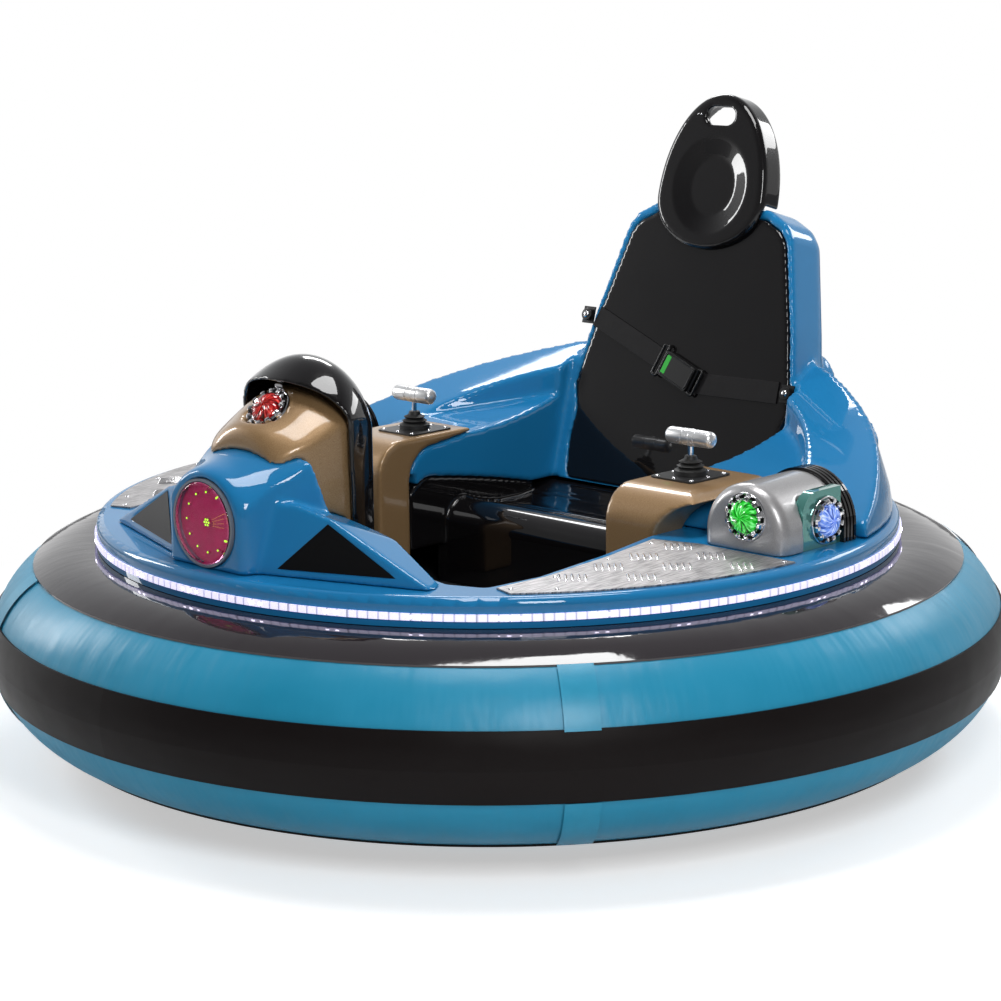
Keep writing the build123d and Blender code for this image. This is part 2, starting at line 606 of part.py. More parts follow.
BACK_T = 24.0
SURROUND_GROW = 12.0
SURROUND_RISE = 10.0      # its top over the seat back's
SURROUND_T = 122.0
SURROUND_ROUND = 30.0     # its rear edges
TAIL_X, TAIL_Y, TAIL_Z, TAIL_R = -(RIM_R - 54), 214.0, 624.0, 52.0
ARM_FOOT = CONSOLE_TOP - 22 - 2 * SEAT_GAP
with BuildPart() as hump:
    with BuildSketch(Plane.XZ):
        Polygon((RIM_R - 12, BASE), (RIM_R - 20, 500), (RIM_R - 64, 640), (RIM_R - 80, 760),
                (RIM_R - 160, 760), (RIM_R - 190, BASE), align=None)
    revolve(axis=Axis.Z)
    with BuildSketch(Plane.XY.offset(BASE - 1)):
        with Locations((SHELL_FRONT, 0)):
            Rectangle(WIDE, WIDE, align=(Align.MIN, Align.CENTER))
    extrude(amount=400, mode=Mode.SUBTRACT)
    with BuildSketch(Plane.XZ):
        with BuildLine():
            Polyline((-800, 745), (-800, 820), (0, 820), (0, 380), (SHELL_FRONT, 484))
            ThreePointArc((SHELL_FRONT, 484), (-480, 611), (-800, 745))
        make_face()
    extrude(amount=900, both=True, mode=Mode.SUBTRACT)
with BuildPart() as shelf:
    with BuildSketch(Plane.XZ):
        with BuildLine():
            Polyline((POST_REAR - 1, WALL_FOOT), (POST_REAR - 1, CONSOLE_TOP - 89))
            ThreePointArc((POST_REAR - 1, CONSOLE_TOP - 89), (POST_REAR - 21, CONSOLE_TOP - 43),
                          (POST_REAR - 69, ARM_FOOT))
            Polyline((POST_REAR - 69, ARM_FOOT), (ARM_REAR, ARM_FOOT + 14))
            ThreePointArc((ARM_REAR, ARM_FOOT + 14), (-420, 545), (-620, 612))
            Polyline((-620, 612), (-620, WALL_FOOT), (POST_REAR - 1, WALL_FOOT))
        make_face()
    extrude(amount=CONSOLE_OUT, both=True)
    with BuildSketch(Plane.XY.offset(BASE)):
        Rectangle(WIDE, WIDE)
        with Locations((-400, 0)):
            Rectangle(2 * 182, 2 * WALL_OUT, mode=Mode.SUBTRACT)
        with Locations((-300, 0)):
            Rectangle(2 * 226, 2 * WALL_OUT, mode=Mode.SUBTRACT)
    extrude(amount=-100, mode=Mode.SUBTRACT)
    with BuildSketch(Plane.XY.offset(WALL_FOOT - 1)):
        Rectangle(WIDE, WIDE)
        Circle(RIM_R - 30, mode=Mode.SUBTRACT)
    extrude(amount=300, mode=Mode.SUBTRACT)
    with BuildSketch(Plane.XZ):
        with BuildLine():
            ThreePointArc(*FOOT_RISE)
            ThreePointArc(*FOOT_FALL)
            Polyline(FOOT_FALL[-1], (POST_REAR, WALL_FOOT - 2), FOOT_RISE[0])
        make_face()
    extrude(amount=WALL_OUT, both=True, mode=Mode.SUBTRACT)
with BuildPart() as surround:
    with BuildSketch(back_plane):
        add(back_outline(SURROUND_GROW, SURROUND_RISE))
    extrude(amount=-SURROUND_T)
    rear_rim = surround.faces().sort_by(Axis((0, 0, 0), back_plane.z_dir))[0].edges()
    fillet(rear_rim.filter_by(lambda e: e.center().Z > 500), SURROUND_ROUND)
with BuildPart() as rear_shell:
    add(hump.part)
    add(shelf.part)
    add(surround.part)
    with BuildSketch(Plane.YZ.offset(TAIL_X)):
        with Locations((TAIL_Y, TAIL_Z), (-TAIL_Y, TAIL_Z)):
            Circle(TAIL_R + 14)
    extrude(amount=80)
    with BuildSketch(Plane.XY.offset(BASE)):
        with Locations((-582, 0)):
            Rectangle(400, WIDE, align=(Align.MAX, Align.CENTER))
    extrude(amount=-120, mode=Mode.SUBTRACT)
    with BuildSketch(Plane.XZ):
        Polygon((0, 300), (back_x(300), 300), (back_x(1100), 1100), (0, 1100), align=None)
    extrude(amount=CAVITY_Y, both=True, mode=Mode.SUBTRACT)
    with BuildSketch(Plane.XY.offset(WALL_FOOT)):
        Rectangle(WIDE, WIDE)
    extrude(amount=-100, mode=Mode.SUBTRACT)
    with BuildSketch(Plane.XZ):
        Polygon((TUB_R - 2 * FRP_T, WALL_FOOT - 50), (TUB_R - 2 * FRP_T, TUB_FLARE_Z),
                (TUB_FLARE_R - 14, FLANGE_Z + SEAT_GAP / 2), (RIM_R, FLANGE_Z + SEAT_GAP / 2),
                (RIM_R, WALL_FOOT - 50), align=None)
    revolve(axis=Axis.Z, mode=Mode.SUBTRACT)
    with BuildSketch(back_plane):
        add(back_outline(SEAT_GAP))
    extrude(amount=-(BACK_T + SEAT_GAP), mode=Mode.SUBTRACT)
    with BuildSketch(Plane.YZ.offset(TAIL_X)):
        with Locations((TAIL_Y, TAIL_Z), (-TAIL_Y, TAIL_Z)):
            Circle(TAIL_R + LAMP_RING + SEAT_GAP)
    extrude(amount=LAMP_DEPTH, mode=Mode.SUBTRACT)
save(rear_shell, "rear_shell")

tail_planes = [Plane(origin=(TAIL_X, side * TAIL_Y, TAIL_Z), x_dir=(0, -1, 0), z_dir=(-1, 0, 0))
               for side in (1, -1)]
tail_lamps = lamp_pieces(tail_planes, TAIL_R, LAMP_RING, LAMP_DEPTH, 8)
for piece, node in zip(tail_lamps, ("tail_lamp_rings", "tail_lamp_boards", "tail_lamp_lenses")):
    save(piece, node)

# Seat: back, pan and headrest
with BuildPart() as seat_back:
    with BuildSketch(back_plane):
        add(back_outline(0))
    extrude(amount=-BACK_T)
save(seat_back, "seat_back")

PAN_FRONT, PAN_TOP = -164.0, 388.0
PAN_Y = 334.0
PAN_T = 6.0
SIDE_T, SIDE_FOOT = 28.0, 300.0       # sides of the pan under the walls
pan_rear = back_x(PAN_TOP) - 8
with BuildPart() as seat_pan:
    with BuildSketch(Plane.XZ):
        with BuildLine():
            Polyline((PAN_FRONT, FLOOR_Z + SEAT_GAP), (PAN_FRONT, PAN_TOP - 52))
            ThreePointArc((PAN_FRONT, PAN_TOP - 52), (PAN_FRONT - 16, PAN_TOP - 14),
                          (PAN_FRONT - 52, PAN_TOP))
            ThreePointArc((PAN_FRONT - 52, PAN_TOP), (-360, PAN_TOP - 26), (pan_rear, PAN_TOP - 2))
            Polyline((pan_rear, PAN_TOP - 2), (pan_rear, PAN_TOP - 12), (-360, PAN_TOP - 36),
                     (PAN_FRONT - 52, PAN_TOP - PAN_T), (PAN_FRONT - 18, PAN_TOP - 22),
                     (PAN_FRONT - PAN_T, PAN_TOP - 54), (PAN_FRONT - PAN_T, FLOOR_Z + SEAT_GAP),
                     (PAN_FRONT, FLOOR_Z + SEAT_GAP))
        make_face()
    extrude(amount=PAN_Y, both=True)
    with BuildSketch(Plane.XZ.offset(-PAN_Y)):
        with Locations((0, -1.0)):
            with BuildLine():
                ThreePointArc(*FOOT_RISE)
                ThreePointArc(*FOOT_FALL)
                Polyline(FOOT_FALL[-1], (-430, SIDE_FOOT), (POST_REAR, SIDE_FOOT), FOOT_RISE[0])
            make_face()
    extrude(amount=SIDE_T)
    mirror(about=Plane.XZ)
    with BuildSketch(Plane.XY.offset(FLOOR_Z)):
        Circle(TUB_R - 2 * FRP_T)
        with Locations((POST_REAR - 3, 0)):
            Rectangle(WIDE, WIDE, align=(Align.MAX, Align.CENTER), mode=Mode.INTERSECT)
    extrude(amount=PAN_TOP, mode=Mode.INTERSECT)
save(seat_pan, "seat_pan")

HEAD_T = 20.0             # in front of the seat back's face, at its middle
HEAD_REAR = 44.0          # behind it, above the surround
HEAD_ROUND = 11.0
DISH_UP, DISH_DEEP = 656.0, 9.0
# Headrest on a plane that stands a little steeper than the seat back: an egg, widest at the height HEAD_MID
HEAD_LOW, HEAD_MID, HEAD_HIGH, HEAD_W = 524.0, 632.0, 848.0, 140.0
HEAD_TURN = 2.5
head_centre = back_plane.from_local_coords(Vector(0, HEAD_MID + 40, 0))
head_lean = radians(LEAN - HEAD_TURN)
head_plane = Plane(origin=head_centre, x_dir=(0, 1, 0), z_dir=(cos(head_lean), 0, sin(head_lean)))
surround_top = back_plane.from_local_coords(Vector(0, BACK[-1][1] + SURROUND_GROW + SURROUND_RISE, 0))


def head_egg():
    """Outline of the headrest: two half ellipses on one width."""
    with BuildSketch() as upper:
        Ellipse(HEAD_W, HEAD_HIGH - HEAD_MID)
        Rectangle(WIDE, WIDE, align=(Align.CENTER, Align.MIN), mode=Mode.INTERSECT)
    with BuildSketch() as lower:
        Ellipse(HEAD_W, HEAD_MID - HEAD_LOW)
        Rectangle(WIDE, WIDE, align=(Align.CENTER, Align.MAX), mode=Mode.INTERSECT)
    with BuildSketch() as egg:
        with Locations((0, -40)):
            add(upper.sketch)
            add(lower.sketch)
    return egg.sketch


with BuildPart() as dish:
    # columns: depth, half width, half height
    for depth, half_wide, half_high in ((DISH_DEEP, 58, 62), (-1, 100, 106)):
        with BuildSketch(head_plane.offset(HEAD_T - depth)):
            with Locations((0, DISH_UP - HEAD_MID - 40)):
                Ellipse(half_wide, half_high)
    loft()
with BuildPart() as headrest:
    with BuildSketch(head_plane.offset(-HEAD_REAR)):
        add(head_egg())
    extrude(amount=HEAD_REAR + HEAD_T)
    for edge_face in headrest.faces().filter_by(GeomType.PLANE):
        fillet(edge_face.edges(), HEAD_ROUND)
    add(dish.part, mode=Mode.SUBTRACT)
    with BuildSketch(Plane.XZ):
        Polygon((back_x(700) + SEAT_GAP / lean_cos, 700),
                (surround_top.X + SEAT_GAP / lean_cos, surround_top.Z + SEAT_GAP),
                (surround_top.X - SURROUND_T * lean_cos, surround_top.Z + SEAT_GAP - SURROUND_T * lean_sin),
                (surround_top.X - SURROUND_T * lean_cos, 700), align=None)
    extrude(amount=2 * HEAD_W, both=True, mode=Mode.SUBTRACT)
    with BuildSketch(head_plane.offset(HEAD_T)):
        with Locations((0, HEAD_HIGH - 47 - HEAD_MID - 40)):
            SlotOverall(76, 38)
    extrude(amount=-100, mode=Mode.SUBTRACT)
save(headrest, "headrest")

# Lap belt: webbing on both sides of the buckle, placed on the seat back's plane
# as y and distance up the face
BELT_W, BELT_T = 44.0, 3.0
BUCKLE_L, BUCKLE_W, BUCKLE_T = 86.0, 54.0, 16.0
BUCKLE = Vector(-4, 266)
BELT_FAR, BELT_NEAR = Vector(-254, 362), Vector(254, 250)
ANCHOR_L, ANCHOR_W, ANCHOR_T = 30.0, 36.0, 4.0
buckle_axis = (BELT_FAR - BUCKLE).normalized()
buckle_turn = degrees(atan2(buckle_axis.Y, buckle_axis.X))
far_slot = BUCKLE + buckle_axis * (BUCKLE_L / 2 + 1)
near_slot = BUCKLE - buckle_axis * (BUCKLE_L / 2 + 9)
with BuildPart() as belt_webbing:
    with BuildSketch(back_plane.offset(SEAT_GAP)):
        for end, slot in ((BELT_FAR, far_slot), (BELT_NEAR, near_slot)):
            with BuildLine():
                Line((end.X, end.Y), (slot.X, slot.Y))
            trace(line_width=BELT_W)
    extrude(amount=BELT_T)
save(belt_webbing, "belt_webbing")

buckle_place = Location((BUCKLE.X, BUCKLE.Y, 0), (0, 0, buckle_turn))
BUTTON_SHIFT = 31.0       # from the buckle's middle
button_spot = BUCKLE + buckle_axis * BUTTON_SHIFT
button_place = Location((button_spot.X, button_spot.Y, 0), (0, 0, buckle_turn))
BUTTON_L, BUTTON_W, BUTTON_T = 12.0, 40.0, 3.0
with BuildPart() as belt_buckle:
    with BuildSketch(back_plane.offset(SEAT_GAP)):
        with Locations(buckle_place):
            RectangleRounded(BUCKLE_L, BUCKLE_W, 6)
    extrude(amount=BUCKLE_T)
    with BuildSketch(back_plane.offset(SEAT_GAP + BUCKLE_T - BUTTON_T)):
        with Locations(button_place):
            Rectangle(BUTTON_L, BUTTON_W)
    extrude(amount=BUTTON_T, mode=Mode.SUBTRACT)
save(belt_buckle, "belt_buckle")
with BuildPart() as belt_button:
    with BuildSketch(back_plane.offset(SEAT_GAP + BUCKLE_T - BUTTON_T + SEAT_GAP)):
        with Locations(button_place):
            Rectangle(BUTTON_L - 2 * SEAT_GAP, BUTTON_W - 2 * SEAT_GAP)
    extrude(amount=BUTTON_T)
save(belt_button, "belt_button")
with BuildPart() as belt_anchors:
    for end, side in ((BELT_FAR, -1), (BELT_NEAR, 1)):
        with BuildSketch(back_plane.offset(SEAT_GAP)):
            with Locations((end.X + side * (ANCHOR_L / 2 + 9), end.Y)):
                Rectangle(ANCHOR_L, ANCHOR_W)
        extrude(amount=ANCHOR_T)
        with BuildSketch(back_plane.offset(SEAT_GAP + ANCHOR_T)):
            with Locations((end.X + side * (ANCHOR_L / 2 + 9), end.Y)):
                RegularPolygon(9, 6)
        extrude(amount=6)
save(belt_anchors, "belt_anchors")

# Chassis: rails under the floor, outriggers and brackets for the motors, pads for the casters
WALL_T = 3.0
BRACKET_Y, BRACKET_T = 250.0, 8.0
with BuildPart() as chassis:
    with BuildSketch(Plane.YZ.offset(-RAIL_HALF_L)):
        with Locations((RAIL_Y, RAIL_Z + RAIL / 2), (-RAIL_Y, RAIL_Z + RAIL / 2)):
            Rectangle(RAIL, RAIL)
            Rectangle(RAIL - 2 * WALL_T, RAIL - 2 * WALL_T, mode=Mode.SUBTRACT)
    extrude(amount=2 * RAIL_HALF_L)
    with BuildSketch(Plane.XY.offset(RAIL_Z)):
        with Locations((CASTER_X, 0), (-CASTER_X, 0)):
            Rectangle(110, 2 * RAIL_Y - RAIL)
        for side in (1, -1):
            with Locations((70, side * (RAIL_Y + RAIL / 2)), (-70, side * (RAIL_Y + RAIL / 2))):
                Rectangle(40, 90, align=(Align.CENTER, Align.MIN if side > 0 else Align.MAX))
    extrude(amount=RAIL)
    for side in (1, -1):
        with BuildSketch(Plane.XZ.offset(-side * BRACKET_Y)):
            with BuildLine():
                Polyline((-90, RAIL_Z), (-60, WHEEL_R - 20))
                ThreePointArc((-60, WHEEL_R - 20), (0, WHEEL_R - 58), (60, WHEEL_R - 20))
                Polyline((60, WHEEL_R - 20), (90, RAIL_Z), (-90, RAIL_Z))
            make_face()
            with Locations((0, WHEEL_R)):
                Circle(MOTOR_SHAFT_R + 6, mode=Mode.SUBTRACT)
        extrude(amount=BRACKET_T / 2, both=True)
    with Locations(*[(x, y, RAIL_Z) for x in (-LIFT_X, LIFT_X) for y in (-RAIL_Y, RAIL_Y)]):
        Hole(LIFT_HOLE_R, depth=WALL_T)
save(chassis, "chassis_frame")

# Drive motors behind the brackets, with the shafts that carry the wheels
MOTOR_R, MOTOR_L = 45.0, 168.0
with BuildPart() as motors:
    for side in (1, -1):
        face = BRACKET_Y - BRACKET_T / 2 - SEAT_GAP
        with BuildSketch(Plane.XZ.offset(-side * face)):
            with Locations((0, WHEEL_R)):
                Circle(MOTOR_R)
        extrude(amount=side * MOTOR_L)
        with BuildSketch(Plane.XZ.offset(-side * face)):
            with Locations((0, WHEEL_R)):
                Circle(MOTOR_SHAFT_R)
        extrude(amount=-side * (WHEEL_Y + WHEEL_W / 2 + 6 - face))
save(motors, "drive_motors")

# Drive wheels: hub with its bore, and a tyre round it
HUB_R = 62.0
for side, name in ((1, "left"), (-1, "right")):
    with BuildPart() as hub:
        with BuildSketch(Plane.XZ.offset(-side * WHEEL_Y)):
            with Locations((0, WHEEL_R)):
                Circle(HUB_R)
                Circle(MOTOR_SHAFT_R + RUN_GAP, mode=Mode.SUBTRACT)
        extrude(amount=WHEEL_W / 2 - 3, both=True)
        with BuildSketch(Plane.XZ.offset(-side * (WHEEL_Y + WHEEL_W / 2 - 3))):
            with Locations((0, WHEEL_R)):
                Circle(HUB_R - 10)
                Circle(24, mode=Mode.SUBTRACT)
        extrude(amount=side * 10, mode=Mode.SUBTRACT)
    save(hub, f"drive_hub_{name}")
    with BuildPart() as tyre:
        with BuildSketch(Plane.XZ.offset(-side * WHEEL_Y)):
            with Locations((0, WHEEL_R)):
                Circle(WHEEL_R)
                Circle(HUB_R + RUN_GAP, mode=Mode.SUBTRACT)
        extrude(amount=WHEEL_W / 2, both=True)
        chamfer(tyre.edges().filter_by(GeomType.CIRCLE).filter_by(lambda e: e.radius > HUB_R + 5), 5)
    save(tyre, f"drive_tyre_{name}")

# Casters: fixed plate, swivelling fork with its kingpin, axle and wheel
PIN_R = 12.0
CROWN_T = 8.0
PLATE_CT = 5.0
CASTER_TOP = RAIL_Z - SEAT_GAP
CROWN_TOP = CASTER_TOP - PLATE_CT - 7
LEG_T, LEG_GAP = 4.0, 5.0
AXLE_R = 6.0
with BuildPart() as caster_plates:
    with BuildSketch(Plane.XY.offset(CASTER_TOP - PLATE_CT)):
        with Locations((CASTER_X, 0), (-CASTER_X, 0)):
            RectangleRounded(102, 84, 6)
            Circle(PIN_R + RUN_GAP, mode=Mode.SUBTRACT)
    extrude(amount=PLATE_CT)
save(caster_plates, "caster_plates")
for end, name in ((1, "front"), (-1, "rear")):
    pivot = end * CASTER_X
    axle = pivot - CASTER_TRAIL
    leg_y = CASTER_W / 2 + LEG_GAP
    with BuildPart() as fork:
        with BuildSketch(Plane.XY.offset(CROWN_TOP - CROWN_T)):
            with Locations((pivot, 0)):
                Circle(34)
                Rectangle(56, 2 * (leg_y + LEG_T))
        extrude(amount=CROWN_T)
        with BuildSketch(Plane.XY.offset(CROWN_TOP)):
            with Locations((pivot, 0)):
                Circle(26)
        extrude(amount=6)
        with BuildSketch(Plane.XY.offset(CROWN_TOP)):
            with Locations((pivot, 0)):
                Circle(PIN_R)
        extrude(amount=CASTER_TOP - CROWN_TOP)
        for side in (1, -1):
            with BuildSketch(Plane.XZ.offset(-side * (leg_y + LEG_T / 2))):
                with BuildLine():
                    Polyline((pivot + 28, CROWN_TOP - CROWN_T), (axle + 16, CASTER_R - 8))
                    ThreePointArc((axle + 16, CASTER_R - 8), (axle, CASTER_R - 19),
                                  (axle - 16, CASTER_R - 8))
                    Polyline((axle - 16, CASTER_R - 8), (pivot - 28, CROWN_TOP - CROWN_T),
                             (pivot + 28, CROWN_TOP - CROWN_T))
                make_face()
            extrude(amount=LEG_T / 2, both=True)
        with BuildSketch(Plane.XZ):
            with Locations((axle, CASTER_R)):
                Circle(AXLE_R)
        extrude(amount=leg_y + LEG_T + 4, both=True)
    save(fork, f"caster_fork_{name}")
    with BuildPart() as wheel:
        with BuildSketch(Plane.XZ):
            with Locations((axle, CASTER_R)):
                Circle(CASTER_R)
                Circle(AXLE_R + RUN_GAP, mode=Mode.SUBTRACT)
        extrude(amount=CASTER_W / 2, both=True)
        chamfer(wheel.edges().filter_by(GeomType.CIRCLE).filter_by(lambda e: e.radius > 20), 5)
    save(wheel, f"caster_wheel_{name}")

# Batteries on the floor under the seat pan
with BuildPart() as battery_block:
    with BuildSketch(Plane.XY.offset(FLOOR_Z + SEAT_GAP)):
        with Locations((-350, 0)):
            Rectangle(230, 380)
    extrude(amount=118)
save(battery_block, "battery_block")
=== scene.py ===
import bmesh
import bpy
from math import atan2, cos, pi, radians, sin, sqrt
from mathutils import Matrix, Vector


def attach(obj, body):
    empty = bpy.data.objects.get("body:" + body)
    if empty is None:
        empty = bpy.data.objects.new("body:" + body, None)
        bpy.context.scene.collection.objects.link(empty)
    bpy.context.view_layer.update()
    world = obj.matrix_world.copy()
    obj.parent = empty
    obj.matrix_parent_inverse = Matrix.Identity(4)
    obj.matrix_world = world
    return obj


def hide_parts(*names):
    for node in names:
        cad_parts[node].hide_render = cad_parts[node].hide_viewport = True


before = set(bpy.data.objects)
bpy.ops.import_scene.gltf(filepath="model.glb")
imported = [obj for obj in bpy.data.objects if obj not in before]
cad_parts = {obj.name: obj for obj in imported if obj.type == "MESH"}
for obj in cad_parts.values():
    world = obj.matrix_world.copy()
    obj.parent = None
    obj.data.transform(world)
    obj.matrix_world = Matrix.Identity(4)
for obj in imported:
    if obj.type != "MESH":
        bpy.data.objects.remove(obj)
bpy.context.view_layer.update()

# Camera: a long lens at chest height, three quarters from the nose on the driver's left.
# The car fills the width of the square picture and stands a little above its middle.
CAMERA_TURN, CAMERA_DIP, CAMERA_ROLL = radians(43.7), radians(11.95), radians(-0.54)
CAMERA_AWAY, AIM_RIGHT, AIM_HEIGHT = 5.036, 0.005, 0.457
LENS_MM, SENSOR_MM = 93.5, 36.0
towards = Vector((cos(CAMERA_TURN), sin(CAMERA_TURN), 0))
camera_right = Vector((-sin(CAMERA_TURN), cos(CAMERA_TURN), 0))
camera_place = (towards * CAMERA_AWAY * cos(CAMERA_DIP) + camera_right * AIM_RIGHT
                + Vector((0, 0, AIM_HEIGHT + CAMERA_AWAY * sin(CAMERA_DIP))))
looking = -(towards * cos(CAMERA_DIP) + Vector((0, 0, sin(CAMERA_DIP))))
camera_up = camera_right.cross(looking)
rolled_right = camera_right * cos(CAMERA_ROLL) + camera_up * sin(CAMERA_ROLL)
rolled_up = camera_up * cos(CAMERA_ROLL) - camera_right * sin(CAMERA_ROLL)
camera = bpy.data.objects.new("camera", bpy.data.cameras.new("camera"))
bpy.context.scene.collection.objects.link(camera)
camera.data.lens = LENS_MM
camera.data.sensor_width = SENSOR_MM
camera.matrix_world = Matrix.Translation(camera_place) @ Matrix(
    (rolled_right, rolled_up, -looking)).transposed().to_4x4()
bpy.context.scene.camera = camera
bpy.context.scene.view_settings.view_transform = "Standard"

# Studio: a pale floor that turns white further off, glows a little under the car and is clear
# from below, and a room with a white backdrop behind the car and a dim side by the camera, so
# that the gloss shows the backdrop and the softboxes and stays deep in between.
FLOOR_HALF, FLOOR_PALE, FLOOR_GLOW, UNDER_GLOW = 30.0, (0.86, 0.86, 0.86, 1), 0.50, 0.60
WHITE_FROM, WHITE_FULL, UNDER_FULL, UNDER_TO = 1.05, 1.9, 0.55, 0.92
# The room's shades by height, and its dim and bright sides, measured from the camera's way
WALLS = [(0.0, (1.0, 1.0, 1.0)), (0.35, (0.62, 0.63, 0.64)), (0.80, (0.30, 0.30, 0.31))]
DIM_TO, BRIGHT_FROM, DIM_SHARE, BRIGHT_SHARE = -0.30, 0.55, 0.24, 1.05


def add_node(tree, kind, inputs=None, **settings):
    """A node with its settings. An input takes a value, a socket or a node's first output."""
    node = tree.nodes.new(kind)
    for setting, value in settings.items():
        setattr(node, setting, value)
    for socket, value in (inputs or {}).items():
        if isinstance(value, bpy.types.Node):
            value = value.outputs[0]
        if isinstance(value, bpy.types.NodeSocket):
            tree.links.new(value, node.inputs[socket])
        else:
            node.inputs[socket].default_value = value
    return node


def add_ramp(tree, source, *stops):
    """A colour ramp over the source, with two or more stops of position and colour."""
    ramp = add_node(tree, "ShaderNodeValToRGB", {"Fac": source})
    elements = ramp.color_ramp.elements
    for element, (position, colour) in ((elements[0], stops[0]), (elements[1], stops[-1])):
        element.position = position
        element.color = (*colour, 1)
    for position, colour in stops[1:-1]:
        elements.new(position).color = (*colour, 1)
    return ramp


floor_mesh = bpy.data.meshes.new("studio_floor")
floor_mesh.from_pydata([(-FLOOR_HALF, -FLOOR_HALF, 0), (FLOOR_HALF, -FLOOR_HALF, 0),
                        (FLOOR_HALF, FLOOR_HALF, 0), (-FLOOR_HALF, FLOOR_HALF, 0)], [], [(0, 1, 2, 3)])
floor = bpy.data.objects.new("studio_floor", floor_mesh)
bpy.context.scene.collection.objects.link(floor)
floor_paint = bpy.data.materials.new("studio_floor")
floor_paint.use_nodes = True
tree = floor_paint.node_tree
tree.nodes.clear()
spot = add_node(tree, "ShaderNodeTexCoord").outputs["Object"]
away = add_node(tree, "ShaderNodeVectorMath", {0: spot}, operation="LENGTH").outputs["Value"]
whiter = add_node(tree, "ShaderNodeMapRange", {"Value": away, "From Min": WHITE_FROM, "From Max": WHITE_FULL},
                  interpolation_type="SMOOTHSTEP")
under = add_node(tree, "ShaderNodeMapRange", {"Value": away, "From Min": UNDER_FULL, "From Max": UNDER_TO,
                                              "To Min": UNDER_GLOW, "To Max": 0.0})
pale = add_node(tree, "ShaderNodeBsdfDiffuse", {"Color": FLOOR_PALE})
near_glow = add_node(tree, "ShaderNodeEmission", {"Strength": FLOOR_GLOW})
near = add_node(tree, "ShaderNodeAddShader", {0: pale, 1: near_glow})
far = add_node(tree, "ShaderNodeEmission")
for_camera = add_node(tree, "ShaderNodeMixShader", {0: whiter, 1: near, 2: far})
under_glow = add_node(tree, "ShaderNodeEmission", {"Strength": under})
for_room = add_node(tree, "ShaderNodeAddShader", {0: pale, 1: under_glow})
seen = add_node(tree, "ShaderNodeLightPath").outputs["Is Camera Ray"]
above = add_node(tree, "ShaderNodeMixShader", {0: seen, 1: for_room, 2: for_camera})
back = add_node(tree, "ShaderNodeNewGeometry").outputs["Backfacing"]
clear = add_node(tree, "ShaderNodeBsdfTransparent")
shown = add_node(tree, "ShaderNodeMixShader", {0: back, 1: above, 2: clear})
add_node(tree, "ShaderNodeOutputMaterial", {"Surface": shown})
floor_mesh.materials.append(floor_paint)

world = bpy.data.worlds.new("studio")
bpy.context.scene.world = world
world.use_nodes = True
tree = world.node_tree
tree.nodes.clear()
way = add_node(tree, "ShaderNodeTexCoord").outputs["Generated"]
height = add_node(tree, "ShaderNodeSeparateXYZ", {0: way}).outputs["Z"]
walls = add_ramp(tree, height, *WALLS)
behind = add_node(tree, "ShaderNodeVectorMath", {0: way, 1: -towards},
                  operation="DOT_PRODUCT").outputs["Value"]
backdrop = add_node(tree, "ShaderNodeMapRange", {"Value": behind, "From Min": DIM_TO, "From Max": BRIGHT_FROM,
                                                 "To Min": DIM_SHARE, "To Max": BRIGHT_SHARE},
                    interpolation_type="SMOOTHSTEP")
shaded = add_node(tree, "ShaderNodeVectorMath", {0: walls, "Scale": backdrop}, operation="SCALE")
rays = add_node(tree, "ShaderNodeLightPath").outputs
straight = add_node(tree, "ShaderNodeMath", {0: rays["Is Camera Ray"], 1: rays["Is Transmission Ray"]},
                    operation="MAXIMUM")
room = add_node(tree, "ShaderNodeMix", {"Factor": straight, "A": shaded, "B": (1, 1, 1, 1)}, data_type="RGBA")
background = add_node(tree, "ShaderNodeBackground", {"Color": room.outputs["Result"]})
add_node(tree, "ShaderNodeOutputWorld", {"Surface": background})

# columns: name, place, what it points at, width, height, watts
SOFTBOXES = [("softbox_top", (0.1, 0.3, 3.0), (0, 0, 0.4), 1.5, 0.9, 44),
             ("softbox_key", (1.9, 2.7, 2.3), (0, 0, 0.4), 0.7, 1.4, 50),
             ("softbox_left", (1.15, -3.0, 1.6), (0, 0, 0.6), 0.5, 1.5, 34),
             ("softbox_rear", (-2.1, -2.2, 3.1), (0, 0, 0.6), 1.7, 0.7, 46),
             ("softbox_back", (-3.0, 1.0, 2.2), (0, 0, 0.7), 1.6, 0.6, 24)]
for name, spot, aim, width, height, watts in SOFTBOXES:
    lamp = bpy.data.lights.new(name, "AREA")
    lamp.shape = "RECTANGLE"
    lamp.size, lamp.size_y, lamp.energy = width, height, watts
    box = bpy.data.objects.new(name, lamp)
    bpy.context.scene.collection.objects.link(box)
    box.location = spot
    box.rotation_euler = (Vector(aim) - Vector(spot)).to_track_quat("-Z", "Y").to_euler()

# Inflated ring: one welded tube of teal PVC cloth, matt to satin, with faint ripples and
# puckers where the black wear band and the dark glossy panels are glued on.
PUCKERS_A_METRE = 7.0


def surface_of(material):
    """The material's one surface shader."""
    return material.node_tree.nodes["Principled BSDF"]


def shader(name, colour, roughness, metallic=0.0, coat=0.0, coat_roughness=0.03, specular=0.5):
    """A plain surface whose even values sit on the shader's own sockets."""
    material = bpy.data.materials.new(name)
    material.use_nodes = True
    for socket, value in (("Base Color", (*colour, 1)), ("Roughness", roughness), ("Metallic", metallic),
                          ("Coat Weight", coat), ("Coat Roughness", coat_roughness),
                          ("Specular IOR Level", specular)):
        surface_of(material).inputs[socket].default_value = value
    return material


def feed(material, socket, source):
    """A node's first output drives a socket of the material's surface."""
    material.node_tree.links.new(source.outputs[0], surface_of(material).inputs[socket])


